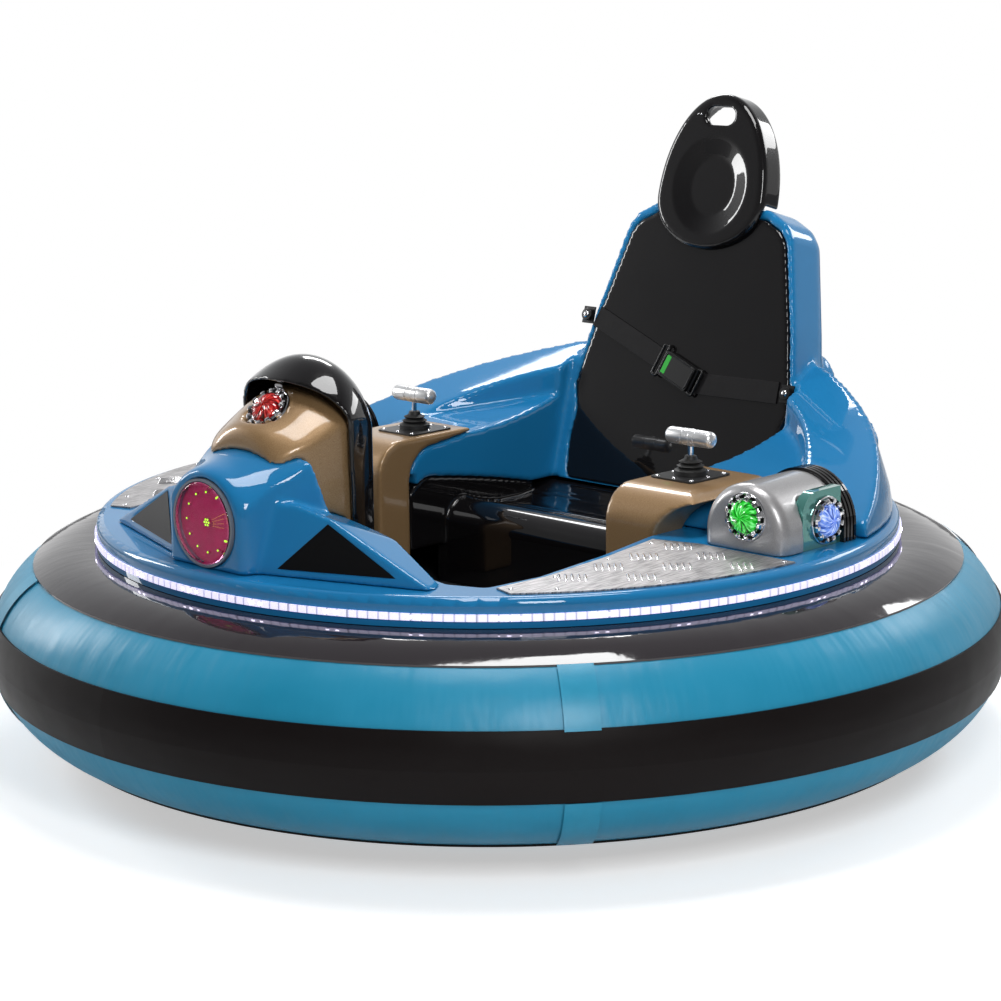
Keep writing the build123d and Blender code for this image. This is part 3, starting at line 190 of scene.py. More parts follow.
def noise_in(material, scale, stretch=(1, 1, 1), detail=3.0, turn=(0, 0, 0)):
    """A noise on the object's own coordinates."""
    tree = material.node_tree
    where = add_node(tree, "ShaderNodeTexCoord").outputs["Object"]
    laid = add_node(tree, "ShaderNodeMapping", {"Vector": where, "Rotation": turn, "Scale": stretch})
    return add_node(tree, "ShaderNodeTexNoise", {"Vector": laid, "Scale": scale, "Detail": detail})


def mottle(material, noise, dark, light, low=0.3, high=0.7):
    """The base colour wanders between two shades with the noise."""
    feed(material, "Base Color", add_ramp(material.node_tree, noise, (low, dark), (high, light)))


def vary_roughness(material, noise, low, high):
    """The roughness wanders between two values with the noise."""
    spread = add_node(material.node_tree, "ShaderNodeMapRange",
                      {"Value": noise, "To Min": low, "To Max": high})
    feed(material, "Roughness", spread)


def bump(material, height, strength, distance):
    """The height raises the surface. Bumps made one after another add up."""
    raised = {"Height": height, "Strength": strength, "Distance": distance}
    before = surface_of(material).inputs["Normal"].links
    if before:
        raised["Normal"] = before[0].from_socket
    feed(material, "Normal", add_node(material.node_tree, "ShaderNodeBump", raised))


def steps_round(material, per_turn):
    """Steps counted round the car's upright axis, and the point's height."""
    tree = material.node_tree
    where = add_node(tree, "ShaderNodeTexCoord").outputs["Object"]
    axes = add_node(tree, "ShaderNodeSeparateXYZ", {0: where}).outputs
    angle = add_node(tree, "ShaderNodeMath", {0: axes["Y"], 1: axes["X"]}, operation="ARCTAN2")
    steps = add_node(tree, "ShaderNodeMath", {0: angle, 1: per_turn / (2 * pi)}, operation="MULTIPLY")
    return steps, axes["Z"]


def puckers(material, per_turn, strength, distance):
    """Short creases across the tube, as cloth gathers along a glued seam."""
    tree = material.node_tree
    round_ring, height = steps_round(material, per_turn)
    up = add_node(tree, "ShaderNodeMath", {0: height, 1: PUCKERS_A_METRE}, operation="MULTIPLY")
    laid = add_node(tree, "ShaderNodeCombineXYZ", {"X": round_ring, "Y": up})
    bump(material, add_node(tree, "ShaderNodeTexNoise", {"Vector": laid, "Scale": 1.0, "Detail": 2.0}),
         strength, distance)


def paint_over(mesh, material):
    """The mesh takes this one material."""
    mesh.materials.clear()
    mesh.materials.append(material)


def finish_nodes(material, *nodes):
    """The CAD nodes keep their shapes and take the material."""
    for node in nodes:
        paint_over(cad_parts[node].data, material)


teal_pvc = shader("teal_pvc", (0.018, 0.26, 0.42), 0.38, specular=0.35)
mottle(teal_pvc, noise_in(teal_pvc, 5.0), (0.013, 0.250, 0.415), (0.023, 0.285, 0.470))
vary_roughness(teal_pvc, noise_in(teal_pvc, 9.0), 0.30, 0.46)
bump(teal_pvc, noise_in(teal_pvc, 2.2, (1, 1, 2.5)), 0.5, 0.02)
puckers(teal_pvc, 130.0, 0.45, 0.006)
bump(teal_pvc, noise_in(teal_pvc, 420.0), 0.08, 0.0005)
black_pvc = shader("black_pvc", (0.007, 0.005, 0.005), 0.42, specular=0.14)
vary_roughness(black_pvc, noise_in(black_pvc, 12.0), 0.36, 0.50)
bump(black_pvc, noise_in(black_pvc, 2.2, (1, 1, 2.5)), 0.4, 0.02)
bump(black_pvc, noise_in(black_pvc, 420.0), 0.1, 0.0005)
grey_pvc = shader("grey_pvc", (0.018, 0.014, 0.017), 0.06, specular=0.9)
vary_roughness(grey_pvc, noise_in(grey_pvc, 6.0), 0.03, 0.10)
puckers(grey_pvc, 90.0, 0.16, 0.005)
bump(grey_pvc, noise_in(grey_pvc, 16.0), 0.10, 0.005)
finish_nodes(teal_pvc, "bumper_tube")
finish_nodes(black_pvc, "bumper_band", "bumper_base_panel")
finish_nodes(grey_pvc, "bumper_top_panel")

# Joint straps: welded strips of thinner PVC over the places where the ring's ends and
# panels meet, above and below the wear band.
RING_RADIUS, RING_HEIGHT, TUBE_WIDE, TUBE_HIGH = 0.785, 0.2225, 0.1936, 0.1811
STRAP_HALF, STRAP_T, STRAP_STEPS = 0.030, 0.0008, 24
STRAP_AZIMUTHS = (51.6, -30, 141)
STRAP_UPPER, STRAP_LOWER = (19.6, 56.4), (-19.0, -62.0)


def link(name, mesh, *materials):
    """An object at the origin for the mesh."""
    piece = bpy.data.objects.new(name, mesh)
    bpy.context.scene.collection.objects.link(piece)
    for material in materials:
        mesh.materials.append(material)
    return piece


def mesh_of(name, form):
    """The mesh of a form that is done."""
    mesh = bpy.data.meshes.new(name)
    form.to_mesh(mesh)
    form.free()
    return mesh


def grid(name, rows, closed=False, smooth=True):
    """A sheet through rows of points; closed joins each row's end to its start."""
    count = len(rows[0])
    mesh = bpy.data.meshes.new(name)
    faces = []
    for row in range(len(rows) - 1):
        for column in range(count if closed else count - 1):
            after = (column + 1) % count
            faces.append((row * count + column, row * count + after,
                          (row + 1) * count + after, (row + 1) * count + column))
    mesh.from_pydata([tuple(point) for row in rows for point in row], [], faces)
    if smooth:
        mesh.shade_smooth()
    return mesh


def join(name, meshes, *materials):
    """One object from several meshes, with their normals turned outwards."""
    whole = bmesh.new()
    for mesh in meshes:
        whole.from_mesh(mesh)
    bmesh.ops.recalc_face_normals(whole, faces=whole.faces)
    return link(name, mesh_of(name, whole), *materials)


def fit(piece, slot, *replaced, body="car_body"):
    """The piece stands for the CAD nodes named, which are hidden, and rides on the body. The slot is not
    used.
    """
    if replaced:
        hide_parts(*replaced)
    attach(piece, body)


straps = []
for azimuth in STRAP_AZIMUTHS:
    for start, end in (STRAP_UPPER, STRAP_LOWER):
        rows = []
        for step in range(STRAP_STEPS + 1):
            round_tube = radians(start + (end - start) * step / STRAP_STEPS)
            radius = RING_RADIUS + (TUBE_WIDE + STRAP_T) * cos(round_tube)
            height = RING_HEIGHT + (TUBE_HIGH + STRAP_T) * sin(round_tube)
            turns = [radians(azimuth) + side * STRAP_HALF / radius for side in (-1, -0.5, 0, 0.5, 1)]
            rows.append([(radius * cos(turn), radius * sin(turn), height) for turn in turns])
        straps.append(grid("strap", rows))
strap_pvc = shader("strap_pvc", (0.024, 0.285, 0.45), 0.34, specular=0.35)
mottle(strap_pvc, noise_in(strap_pvc, 30.0), (0.018, 0.272, 0.440), (0.028, 0.305, 0.490))
bump(strap_pvc, noise_in(strap_pvc, 420.0), 0.1, 0.0005)
fit(join("ring_straps", straps, strap_pvc), "teal_pvc")

# Deck: a glass fibre moulding in clear-coated blue, with the cockpit opening in it and
# a rounded rim that hangs over the ring.
blue_gelcoat = shader("blue_gelcoat", (0.010, 0.185, 0.42), 0.5, coat=0.85, coat_roughness=0.03,
                      specular=0.05)
mottle(blue_gelcoat, noise_in(blue_gelcoat, 3.0), (0.009, 0.175, 0.400), (0.012, 0.195, 0.440))
bump(blue_gelcoat, noise_in(blue_gelcoat, 260.0, detail=1.0), 0.03, 0.0004)
finish_nodes(blue_gelcoat, "deck")

# Light strip: a milky flexible strip glued round the rim, in segments of six diodes, with a
# dark mark beside each diode and a darker one where the strip may be cut.
STRIP_RADIUS, STRIP_HEIGHT, DIODES, SEGMENTS = 0.7745, 0.422, 264, 44
CHIP = (0.0016, 0.006, 0.005)


def glow(material, colour, strength):
    """The material gives off light of its own."""
    surface_of(material).inputs["Emission Color"].default_value = (*colour, 1)
    surface_of(material).inputs["Emission Strength"].default_value = strength


strip_light = shader("strip_light", (0.75, 0.78, 0.9), 0.4)
tree = strip_light.node_tree
shades = []
# columns: marks in a turn, a mark's dark share, where it has faded out, dark shade, light shade
for count, dark_to, light_from, dark, light in ((DIODES, 0.06, 0.20, (0.06, 0.05, 0.22), (0.72, 0.66, 1.0)),
                                                (SEGMENTS, 0.02, 0.05, (0.12, 0.10, 0.30), (1, 1, 1))):
    share = add_node(tree, "ShaderNodeMath", {0: steps_round(strip_light, count)[0]}, operation="FRACT")
    shades.append(add_ramp(tree, share, (dark_to, dark), (light_from, light)))
marked = add_node(tree, "ShaderNodeMix", {"Factor": 1.0, "A": shades[0], "B": shades[1]},
                  data_type="RGBA", blend_type="MULTIPLY")
glow(strip_light, (1, 1, 1), 0.85)
tree.links.new(marked.outputs["Result"], surface_of(strip_light).inputs["Emission Color"])
finish_nodes(strip_light, "rim_light_strip")


def tree_of(name, **sizes):
    """A Geometry Nodes tree with a geometry input and output and named sizes."""
    made = bpy.data.node_groups.new(name, "GeometryNodeTree")
    made.interface.new_socket("Geometry", in_out="INPUT", socket_type="NodeSocketGeometry")
    made.interface.new_socket("Geometry", in_out="OUTPUT", socket_type="NodeSocketGeometry")
    for size, value in sizes.items():
        kind = "NodeSocketInt" if isinstance(value, int) else "NodeSocketFloat"
        made.interface.new_socket(size, in_out="INPUT", socket_type=kind).default_value = value
    return made, made.nodes.new("NodeGroupInput").outputs


def settle(piece):
    """The evaluated mesh takes the place of the modifiers."""
    graph = bpy.context.evaluated_depsgraph_get()
    made = bpy.data.meshes.new_from_object(piece.evaluated_get(graph))
    piece.modifiers.clear()
    piece.data = made
    return piece


def grow(name, made, mesh, **sizes):
    """Runs the tree on a mesh and keeps the result as a plain mesh."""
    piece = link(name, mesh)
    modifier = piece.modifiers.new("made", "NODES")
    modifier.node_group = made
    for item in made.interface.items_tree:
        if item.in_out == "INPUT" and item.name in sizes:
            modifier[item.identifier] = sizes[item.name]
    return settle(piece)


diode_glow = shader("diode_glow", (0.9, 0.92, 1.0), 0.4)
glow(diode_glow, (0.86, 0.78, 1.0), 6.0)
made, given = tree_of("diodes_round_rim", Count=DIODES, Radius=STRIP_RADIUS, Height=STRIP_HEIGHT)
circle = add_node(made, "GeometryNodeCurvePrimitiveCircle", {"Radius": given["Radius"]})
points = add_node(made, "GeometryNodeCurveToPoints", {"Curve": circle, "Count": given["Count"]}, mode="COUNT")
chip = add_node(made, "GeometryNodeMeshCube", {"Size": CHIP})
outwards = add_node(made, "FunctionNodeAlignRotationToVector",
                    {"Vector": add_node(made, "GeometryNodeInputPosition")}, axis="X")
put = add_node(made, "GeometryNodeInstanceOnPoints",
               {"Points": points, "Instance": chip, "Rotation": outwards})
whole = add_node(made, "GeometryNodeRealizeInstances", {0: put})
lift = add_node(made, "ShaderNodeCombineXYZ", {"Z": given["Height"]})
raised = add_node(made, "GeometryNodeTransform", {"Geometry": whole, "Translation": lift})
painted = add_node(made, "GeometryNodeSetMaterial", {"Geometry": raised, "Material": diode_glow})
add_node(made, "NodeGroupOutput", {"Geometry": painted})
fit(grow("rim_diodes", made, bpy.data.meshes.new("rim_diodes")), "strip_light")

# Tub and floor: a black glass fibre moulding fixed under the deck, and the matt floor plate
# in it that carries the driver's feet.
black_gelcoat = shader("black_gelcoat", (0.005, 0.0045, 0.005), 0.3, coat=1.0, coat_roughness=0.03,
                       specular=0.05)
vary_roughness(black_gelcoat, noise_in(black_gelcoat, 7.0), 0.18, 0.30)
bump(black_gelcoat, noise_in(black_gelcoat, 260.0, detail=1.0), 0.03, 0.0004)
floor_plate = shader("floor_plate", (0.014, 0.015, 0.017), 0.5)
vary_roughness(floor_plate, noise_in(floor_plate, 18.0), 0.4, 0.62)
bump(floor_plate, noise_in(floor_plate, 300.0), 0.3, 0.0008)
finish_nodes(black_gelcoat, "tub")
finish_nodes(floor_plate, "cockpit_floor")

# Nose cowl: a blue moulding with a barrel for the lamp, a snout and two wings, bedded on the
# deck. A black panel is let into each wing.


def moulded(name, node, slot, material, voxel, rounds, hollow=None):
    """A skin over a CAD node, hollowed by a form where asked, with the corners a mould leaves."""
    skin = bmesh.new()
    skin.from_mesh(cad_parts[node].data)
    bmesh.ops.remove_doubles(skin, verts=skin.verts, dist=1e-5)
    mesh = mesh_of(name, skin)
    mesh.materials.clear()
    piece = link(name, mesh)
    if hollow:
        cutter = link("cutter", hollow)
        piece.modifiers.new("cut", "BOOLEAN").object = cutter
        settle(piece)
        bpy.data.objects.remove(cutter)
    cast = piece.modifiers.new("cast", "REMESH")
    cast.mode = "VOXEL"
    cast.voxel_size = voxel
    cast.use_smooth_shade = True
    ease = piece.modifiers.new("ease", "SMOOTH")
    ease.factor = 0.5
    ease.iterations = rounds
    settle(piece)
    paint_over(piece.data, material)
    fit(piece, slot, node)


moulded("nose_moulding", "nose_cowl", "blue_gelcoat", blue_gelcoat, 0.004, 12)
black_panel = shader("black_panel", (0.004, 0.004, 0.0045), 0.4, specular=0.15)
bump(black_panel, noise_in(black_panel, 500.0), 0.15, 0.0004)
finish_nodes(black_panel, "nose_panels")

# Nose lamp: a clear pink lens with a rounded edge over a board of yellow-green diodes,
# set in a grey ring. The two tail lamps are made the same way, a size smaller.
LAMP_FACE, LAMP_HEIGHT, LAMP_RADIUS = 0.737, 0.535, 0.0735
TAIL_FACE, TAIL_SIDE, TAIL_HEIGHT, TAIL_RADIUS = -0.716, 0.214, 0.624, 0.052
LENS_GAP, LENS_BACK, LENS_SHOULDER, BOARD_BACK = 0.001, 0.0125, 0.007, 0.0147
LENS_EDGE, LENS_ROUND, DIODE_RING, MIDDLE_RING = 0.001, 0.005, 0.72, 0.0055
# The lens's low crown: share of its radius, height
LENS_CROWN = [(0.6, 0.0072), (0.3, 0.0079), (0.0, 0.008)]
lamp_ring = shader("lamp_ring", (0.16, 0.18, 0.22), 0.2, specular=0.6)
bump(lamp_ring, noise_in(lamp_ring, 200.0), 0.05, 0.0004)
lamp_board = shader("lamp_board", (0.36, 0.006, 0.10), 0.35)
mottle(lamp_board, noise_in(lamp_board, 60.0), (0.30, 0.005, 0.08), (0.42, 0.010, 0.13))
glow(lamp_board, (0.40, 0.005, 0.12), 0.12)
pink_lens = shader("pink_lens", (0.95, 0.42, 0.70), 0.02)
surface_of(pink_lens).inputs["Transmission Weight"].default_value = 1.0
surface_of(pink_lens).inputs["IOR"].default_value = 1.3
bump(pink_lens, noise_in(pink_lens, 40.0), 0.05, 0.0006)
lime_glow = shader("lime_glow", (0.5, 0.8, 0.05), 0.4)
glow(lime_glow, (0.12, 1.0, 0.01), 4.0)
amber_glow = shader("amber_glow", (0.8, 0.25, 0.02), 0.4)
glow(amber_glow, (0.45, 1.0, 0.01), 2.2)
finish_nodes(lamp_ring, "nose_lamp_ring", "tail_lamp_rings")
finish_nodes(lamp_board, "nose_lamp_board", "tail_lamp_boards")


def facing(origin, out, right):
    """A matrix whose z points out of the surface at the origin and whose x points right."""
    z = Vector(out).normalized()
    x = (Vector(right) - z * z.dot(Vector(right))).normalized()
    return Matrix.Translation(Vector(origin)) @ Matrix((x, z.cross(x), z)).transposed().to_4x4()


def lathe(name, profile, place, count=64):
    """A closed form turned round the place's z from a profile of radius and height."""
    turns = [2 * pi * step / count for step in range(count)]
    rows = [[place @ Vector((radius * cos(turn), radius * sin(turn), rise)) for turn in turns]
            for radius, rise in profile]
    form = bmesh.new()
    form.from_mesh(grid(name, rows, closed=True))
    bmesh.ops.remove_doubles(form, verts=form.verts, dist=1e-7)
    bmesh.ops.recalc_face_normals(form, faces=form.faces)
    mesh = mesh_of(name, form)
    mesh.shade_smooth()
    mesh.set_sharp_from_angle(angle=radians(35))
    return mesh


def lens_profile(radius):
    """A solid moulded lens: flat back near the board, rounded shoulder and low crown."""
    profile = [(0.0, -LENS_BACK), (radius - LENS_EDGE, -LENS_BACK), (radius, LENS_EDGE - LENS_BACK),
               (radius, LENS_EDGE)]
    for step in range(1, 7):
        turn = radians(15 * step)
        profile.append((radius - LENS_SHOULDER + LENS_SHOULDER * cos(turn),
                        LENS_EDGE + LENS_ROUND * sin(turn)))
    return profile + [(radius * share, rise) for share, rise in LENS_CROWN]


nose_face = facing((LAMP_FACE, 0, LAMP_HEIGHT), (1, 0, 0), (0, 1, 0))
tail_faces = [facing((TAIL_FACE, side * TAIL_SIDE, TAIL_HEIGHT), (-1, 0, 0), (0, -1, 0)) for side in (1, -1)]
nose_lens = lathe("lens", lens_profile(LAMP_RADIUS - LENS_GAP), nose_face, 96)
fit(join("nose_lens", [nose_lens], pink_lens), "pink_lens", "nose_lamp_lens")
tail_lenses = [lathe("lens", lens_profile(TAIL_RADIUS - LENS_GAP), face) for face in tail_faces]
fit(join("tail_lenses", tail_lenses, pink_lens), "pink_lens", "tail_lamp_lenses")


def points_mesh(name, places):
    """Loose points, each with the way its part faces and the way its part's length runs."""
    mesh = bpy.data.meshes.new(name)
    mesh.from_pydata([tuple(place.translation) for place in places], [], [])
    turns = mesh.attributes.new("turn", "QUATERNION", "POINT")
    for index, place in enumerate(places):
        turns.data[index].value = place.to_quaternion()
    return mesh


# A domed head, half sunk in the surface that it sits on, repeated at each point
heads_tree, given = tree_of("domed_heads", Length=0.004, Radius=0.004, Rise=0.002)
ball = add_node(heads_tree, "GeometryNodeMeshUVSphere", {"Segments": 14, "Rings": 8, "Radius": 1.0})
sizes = add_node(heads_tree, "ShaderNodeCombineXYZ",
                 {"X": given["Length"], "Y": given["Radius"], "Z": given["Rise"]})
head = add_node(heads_tree, "GeometryNodeTransform", {"Geometry": ball, "Scale": sizes})
turned = add_node(heads_tree, "GeometryNodeInputNamedAttribute", {"Name": "turn"}, data_type="QUATERNION")
put = add_node(heads_tree, "GeometryNodeInstanceOnPoints",
               {"Points": given["Geometry"], "Instance": head, "Rotation": turned.outputs["Attribute"]})
whole = add_node(heads_tree, "GeometryNodeRealizeInstances", {0: put})
even = add_node(heads_tree, "GeometryNodeSetShadeSmooth", {"Geometry": whole})
painted = add_node(heads_tree, "GeometryNodeSetMaterial", {"Geometry": even, "Material": lime_glow})
add_node(heads_tree, "NodeGroupOutput", {"Geometry": painted})


def domed_heads(name, places, radius, rise, material, slot, body="car_body", length=None):
    """Rivets, screw heads, diodes or raised bars at the places."""
    piece = grow(name, heads_tree, points_mesh(name, places),
                 Length=length or radius, Radius=radius, Rise=rise)
    paint_over(piece.data, material)
    fit(piece, slot, body=body)


def on_circle(place, radius, count, height=0.0):
    """Places at even steps round the place's z."""
    return [place @ Matrix.Rotation(2 * pi * step / count, 4, "Z") @ Matrix.Translation((radius, 0, height))
            for step in range(count)]


diode_places = on_circle(nose_face, LAMP_RADIUS * DIODE_RING, 12, -BOARD_BACK)
diode_places += on_circle(nose_face, MIDDLE_RING, 6, -BOARD_BACK) + on_circle(nose_face, 0.0, 1, -BOARD_BACK)
for face in tail_faces:
    diode_places += on_circle(face, TAIL_RADIUS * DIODE_RING, 8, -BOARD_BACK)
domed_heads("lamp_diodes", diode_places, 0.0018, 0.0012, lime_glow, "pink_lens")
# A fan of small diodes beside the middle of the nose lamp
FAN_START, FAN_STEP, FAN_BACK = 0.012, 0.0050, 0.0194
FAN_PITCH, FAN_SPREAD, FAN_SWEEP = 0.0040, 0.0008, 0.0012
fan = []
for step in range(6):
    for row in range(4):
        across = (row - 1.5) * (FAN_PITCH + FAN_SPREAD * step) + FAN_SWEEP * step
        fan.append(nose_face @ Matrix.Translation((FAN_START + FAN_STEP * step, across, -FAN_BACK)))
domed_heads("lamp_fan", fan, 0.0013, 0.0008, amber_glow, "pink_lens")

# Hood and visor: a helmet in bronze metallic paint behind the snout, and a glossy black visor
# that arches over it.
bronze_paint = shader("bronze_paint", (0.30, 0.185, 0.085), 0.42, metallic=0.3, coat=0.8, coat_roughness=0.08,
                      specular=0.3)
flakes = noise_in(bronze_paint, 900.0, detail=1.0)
mottle(bronze_paint, flakes, (0.255, 0.150, 0.065), (0.37, 0.235, 0.115), 0.35, 0.65)
bump(bronze_paint, flakes, 0.06, 0.0003)
moulded("nose_helmet", "nose_hood", "bronze_paint", bronze_paint, 0.004, 10)
moulded("visor_shell", "nose_visor", "black_gelcoat", black_gelcoat, 0.0032, 6)

# Consoles: two mouldings in the same bronze, one on each side of the cockpit, each with a
# flat top that carries a joystick.
for side in ("left", "right"):
    moulded("console_moulding_" + side, "console_" + side, "bronze_paint", bronze_paint, 0.0045, 12)

# Joysticks: a satin chrome cross grip on a polished stem, which rises from a rubber bellows
# on a black steel plate. Eight small screws hold the plate down.
chrome = shader("chrome", (0.80, 0.80, 0.82), 0.08, metallic=1.0)
vary_roughness(chrome, noise_in(chrome, 40.0), 0.05, 0.14)
black_steel = shader("black_steel", (0.018, 0.018, 0.019), 0.36, specular=0.5)
vary_roughness(black_steel, noise_in(black_steel, 30.0), 0.3, 0.45)
bump(black_steel, noise_in(black_steel, 350.0), 0.08, 0.0004)
black_rubber = shader("black_rubber", (0.012, 0.012, 0.012), 0.55)
bump(black_rubber, noise_in(black_rubber, 500.0), 0.15, 0.0005)
satin_chrome = shader("satin_chrome", (0.86, 0.87, 0.88), 0.3, metallic=0.8, specular=0.6)
vary_roughness(satin_chrome, noise_in(satin_chrome, 30.0), 0.24, 0.36)
finish_nodes(chrome, "joystick_stems")
finish_nodes(black_steel, "joystick_plates")
finish_nodes(black_rubber, "joystick_boots")
STICK_FORE, STICK_SIDE, GRIP_HEIGHT, PLATE_TOP = -0.138, 0.368, 0.607, 0.5363
SCREW_FORE, SCREW_SIDE = 0.048, 0.041
# Half profile of a grip: a round-ended bar with a raised joint ring and two fine grooves
GRIP_END = [(0.0, 0.056), (0.006, 0.0555), (0.011, 0.0535), (0.0145, 0.050), (0.0160, 0.045)]
GRIP_MIDDLE = [(0.0160, -0.0145), (0.0152, -0.014), (0.0152, -0.0125), (0.0160, -0.012), (0.0160, -0.002),
               (0.0165, -0.0015), (0.0165, 0.0035), (0.0160, 0.004), (0.0160, 0.016), (0.0152, 0.0165),
               (0.0152, 0.018), (0.0160, 0.0185)]
GRIP = [(radius, -along) for radius, along in GRIP_END] + GRIP_MIDDLE + GRIP_END[::-1]
grips, screws = [], []
for side in (1, -1):
    grip_place = facing((STICK_FORE, side * STICK_SIDE, GRIP_HEIGHT), (0, 1, 0), (1, 0, 0))
    grips.append(lathe("grip", GRIP, grip_place, 48))
    for across in (-1, 0, 1):
        for along in (-1, 0, 1):
            if across or along:
                screws.append(Matrix.Translation((STICK_FORE + along * SCREW_FORE,
                                                  side * STICK_SIDE + across * SCREW_SIDE, PLATE_TOP)))
fit(join("joystick_handles", grips, satin_chrome), "chrome", "joystick_grips")
domed_heads("joystick_screws", screws, 0.0045, 0.0028, chrome, "chrome")

# Side pods: an arch in silver paint, a green mirror window behind it and a ribbed black cowl,
# one pod on each side of the deck, outside the console.
silver_paint = shader("silver_paint", (0.38, 0.375, 0.38), 0.36, metallic=0.5, coat=0.7, coat_roughness=0.06)
mottle(silver_paint, noise_in(silver_paint, 900.0, detail=1.0), (0.32, 0.315, 0.32), (0.43, 0.425, 0.43),
       0.35, 0.65)
green_mirror = shader("green_mirror", (0.10, 0.34, 0.30), 0.08, metallic=0.6, coat=1.0)
vary_roughness(green_mirror, noise_in(green_mirror, 20.0), 0.05, 0.12)
for side in ("left", "right"):
    moulded("pod_moulding_" + side, "pod_" + side, "silver_paint", silver_paint, 0.003, 8)
finish_nodes(green_mirror, "pod_windows")
finish_nodes(black_gelcoat, "pod_cowls")

# Jewel lamps: a faceted coloured lens lit from behind, held in a chromed bezel by twelve
# bent claws. One is red, on the hood; a green and a blue-white one are on each pod.
CLAWS, FACETS, FACET_SINK, SWIRL = 12, 28, 0.0009, (26.0, 2.2, 1.0)
red_face = facing((0.58, 0, 0.712), (1, 0, 1), (0, 1, 0)) @ Matrix.Translation((0, 0, 0.0003))
green_faces = [facing((0.0223, side * 0.628, 0.519), (1, 0, 0), (0, 1, 0)) for side in (1, -1)]
blue_faces = [facing((-0.106, side * 0.7043, 0.503), (0, side, 0), (1, 0, 0)) for side in (1, -1)]
jewel_faces = [red_face] + green_faces + blue_faces
BEZEL = [(0.0291, 0.0), (0.044, 0.0), (0.044, 0.0032), (0.0434, 0.0042), (0.0418, 0.0045), (0.0400, 0.0032),
         (0.0345, 0.0030), (0.0318, 0.0062), (0.0302, 0.0068), (0.0291, 0.0060), (0.0291, 0.0)]
GAP = [(0.0312, 0.0031), (0.0312, 0.0040), (0.0400, 0.0040), (0.0400, 0.0031), (0.0312, 0.0031)]
# Side view of a claw, which rises at the flange and bends over the lens: radius, height, half width
CLAW = [(0.0416, 0.0030, 0.0062), (0.0408, 0.0090, 0.0058), (0.0390, 0.0124, 0.0052),
        (0.0365, 0.0140, 0.0045), (0.0338, 0.0138, 0.0040), (0.0312, 0.0128, 0.0034)]
# Section of a claw: radius past its line, share of its half width, height past its line
CLAW_SECTION = [(0, 1, 0), (0.0004, 0.5, 0.0007), (0.0004, -0.5, 0.0007), (0, -1, 0), (-0.001, -1, -0.0012),
                (-0.001, 1, -0.0012)]
# Rings of the cut lens: radius, height and twist in facets
GEM = [(0.0288, 0.0, 0.0), (0.0288, 0.0100, 0.0), (0.0268, 0.0145, 0.5), (0.0225, 0.0175, 1.1),
       (0.0165, 0.0195, 1.8), (0.0095, 0.0207, 2.7), (0.0042, 0.0210, 3.6)]
GEM_SHOULDER, GEM_TOP = 0.011, 0.0212


def capped(name, rows):
    """A closed form through rings of points, with its two ends filled."""
    form = bmesh.new()
    form.from_mesh(grid(name, rows, closed=True, smooth=False))
    bmesh.ops.holes_fill(form, edges=form.edges)
    bmesh.ops.recalc_face_normals(form, faces=form.faces)
    return mesh_of(name, form)


def claw_mesh(place):
    """One bent claw, about a millimetre thick."""
    return capped("claw", [[place @ Vector((radius + out, half * share, rise + up))
                            for out, share, up in CLAW_SECTION] for radius, rise, half in CLAW])


bezels = []
for face in jewel_faces:
    bezels.append(lathe("bezel", BEZEL, face, 72))
    for step in range(CLAWS):
        bezels.append(claw_mesh(face @ Matrix.Rotation(2 * pi * (step + 0.5) / CLAWS, 4, "Z")))
fit(join("jewel_gaps", [lathe("gap", GAP, face, 48) for face in jewel_faces], black_panel), "black_panel")
fit(join("jewel_bezels", bezels, chrome), "chrome", "jewel_rings")


def gem_mesh(place):
    """A lens cut in twisted facets, with a UV map of turn and radius."""
    count = 2 * FACETS
    gem = bmesh.new()
    swirl = gem.loops.layers.uv.new("swirl")
    rows = []
    for radius, rise, twist in GEM:
        row = []
        for step in range(count):
            turn = 2 * pi * (step + twist) / count
            sunk = FACET_SINK if step % 2 and rise > GEM_SHOULDER else 0.0
            row.append(gem.verts.new(place @ Vector((radius * cos(turn), radius * sin(turn), rise - sunk))))
        rows.append(row)
    low_pole = gem.verts.new(place @ Vector((0, 0, 0)))
    top_pole = gem.verts.new(place @ Vector((0, 0, GEM_TOP)))
    for row in range(len(rows) - 1):
        for step in range(count):
            after = (step + 1) % count
            face = gem.faces.new((rows[row][step], rows[row][after],
                                  rows[row + 1][after], rows[row + 1][step]))
            corners = ((step, row), (step + 1, row), (step + 1, row + 1), (step, row + 1))
            for loop, (turn, out) in zip(face.loops, corners):
                loop[swirl].uv = (turn / count, 1.0 - out / (len(rows) - 1))
    for step in range(count):
        after = (step + 1) % count
        gem.faces.new((rows[0][after], rows[0][step], low_pole))
        face = gem.faces.new((rows[-1][step], rows[-1][after], top_pole))
        for loop in face.loops:
            loop[swirl].uv = (step / count, 0.0)
    bmesh.ops.recalc_face_normals(gem, faces=gem.faces)
    return mesh_of("gem", gem)
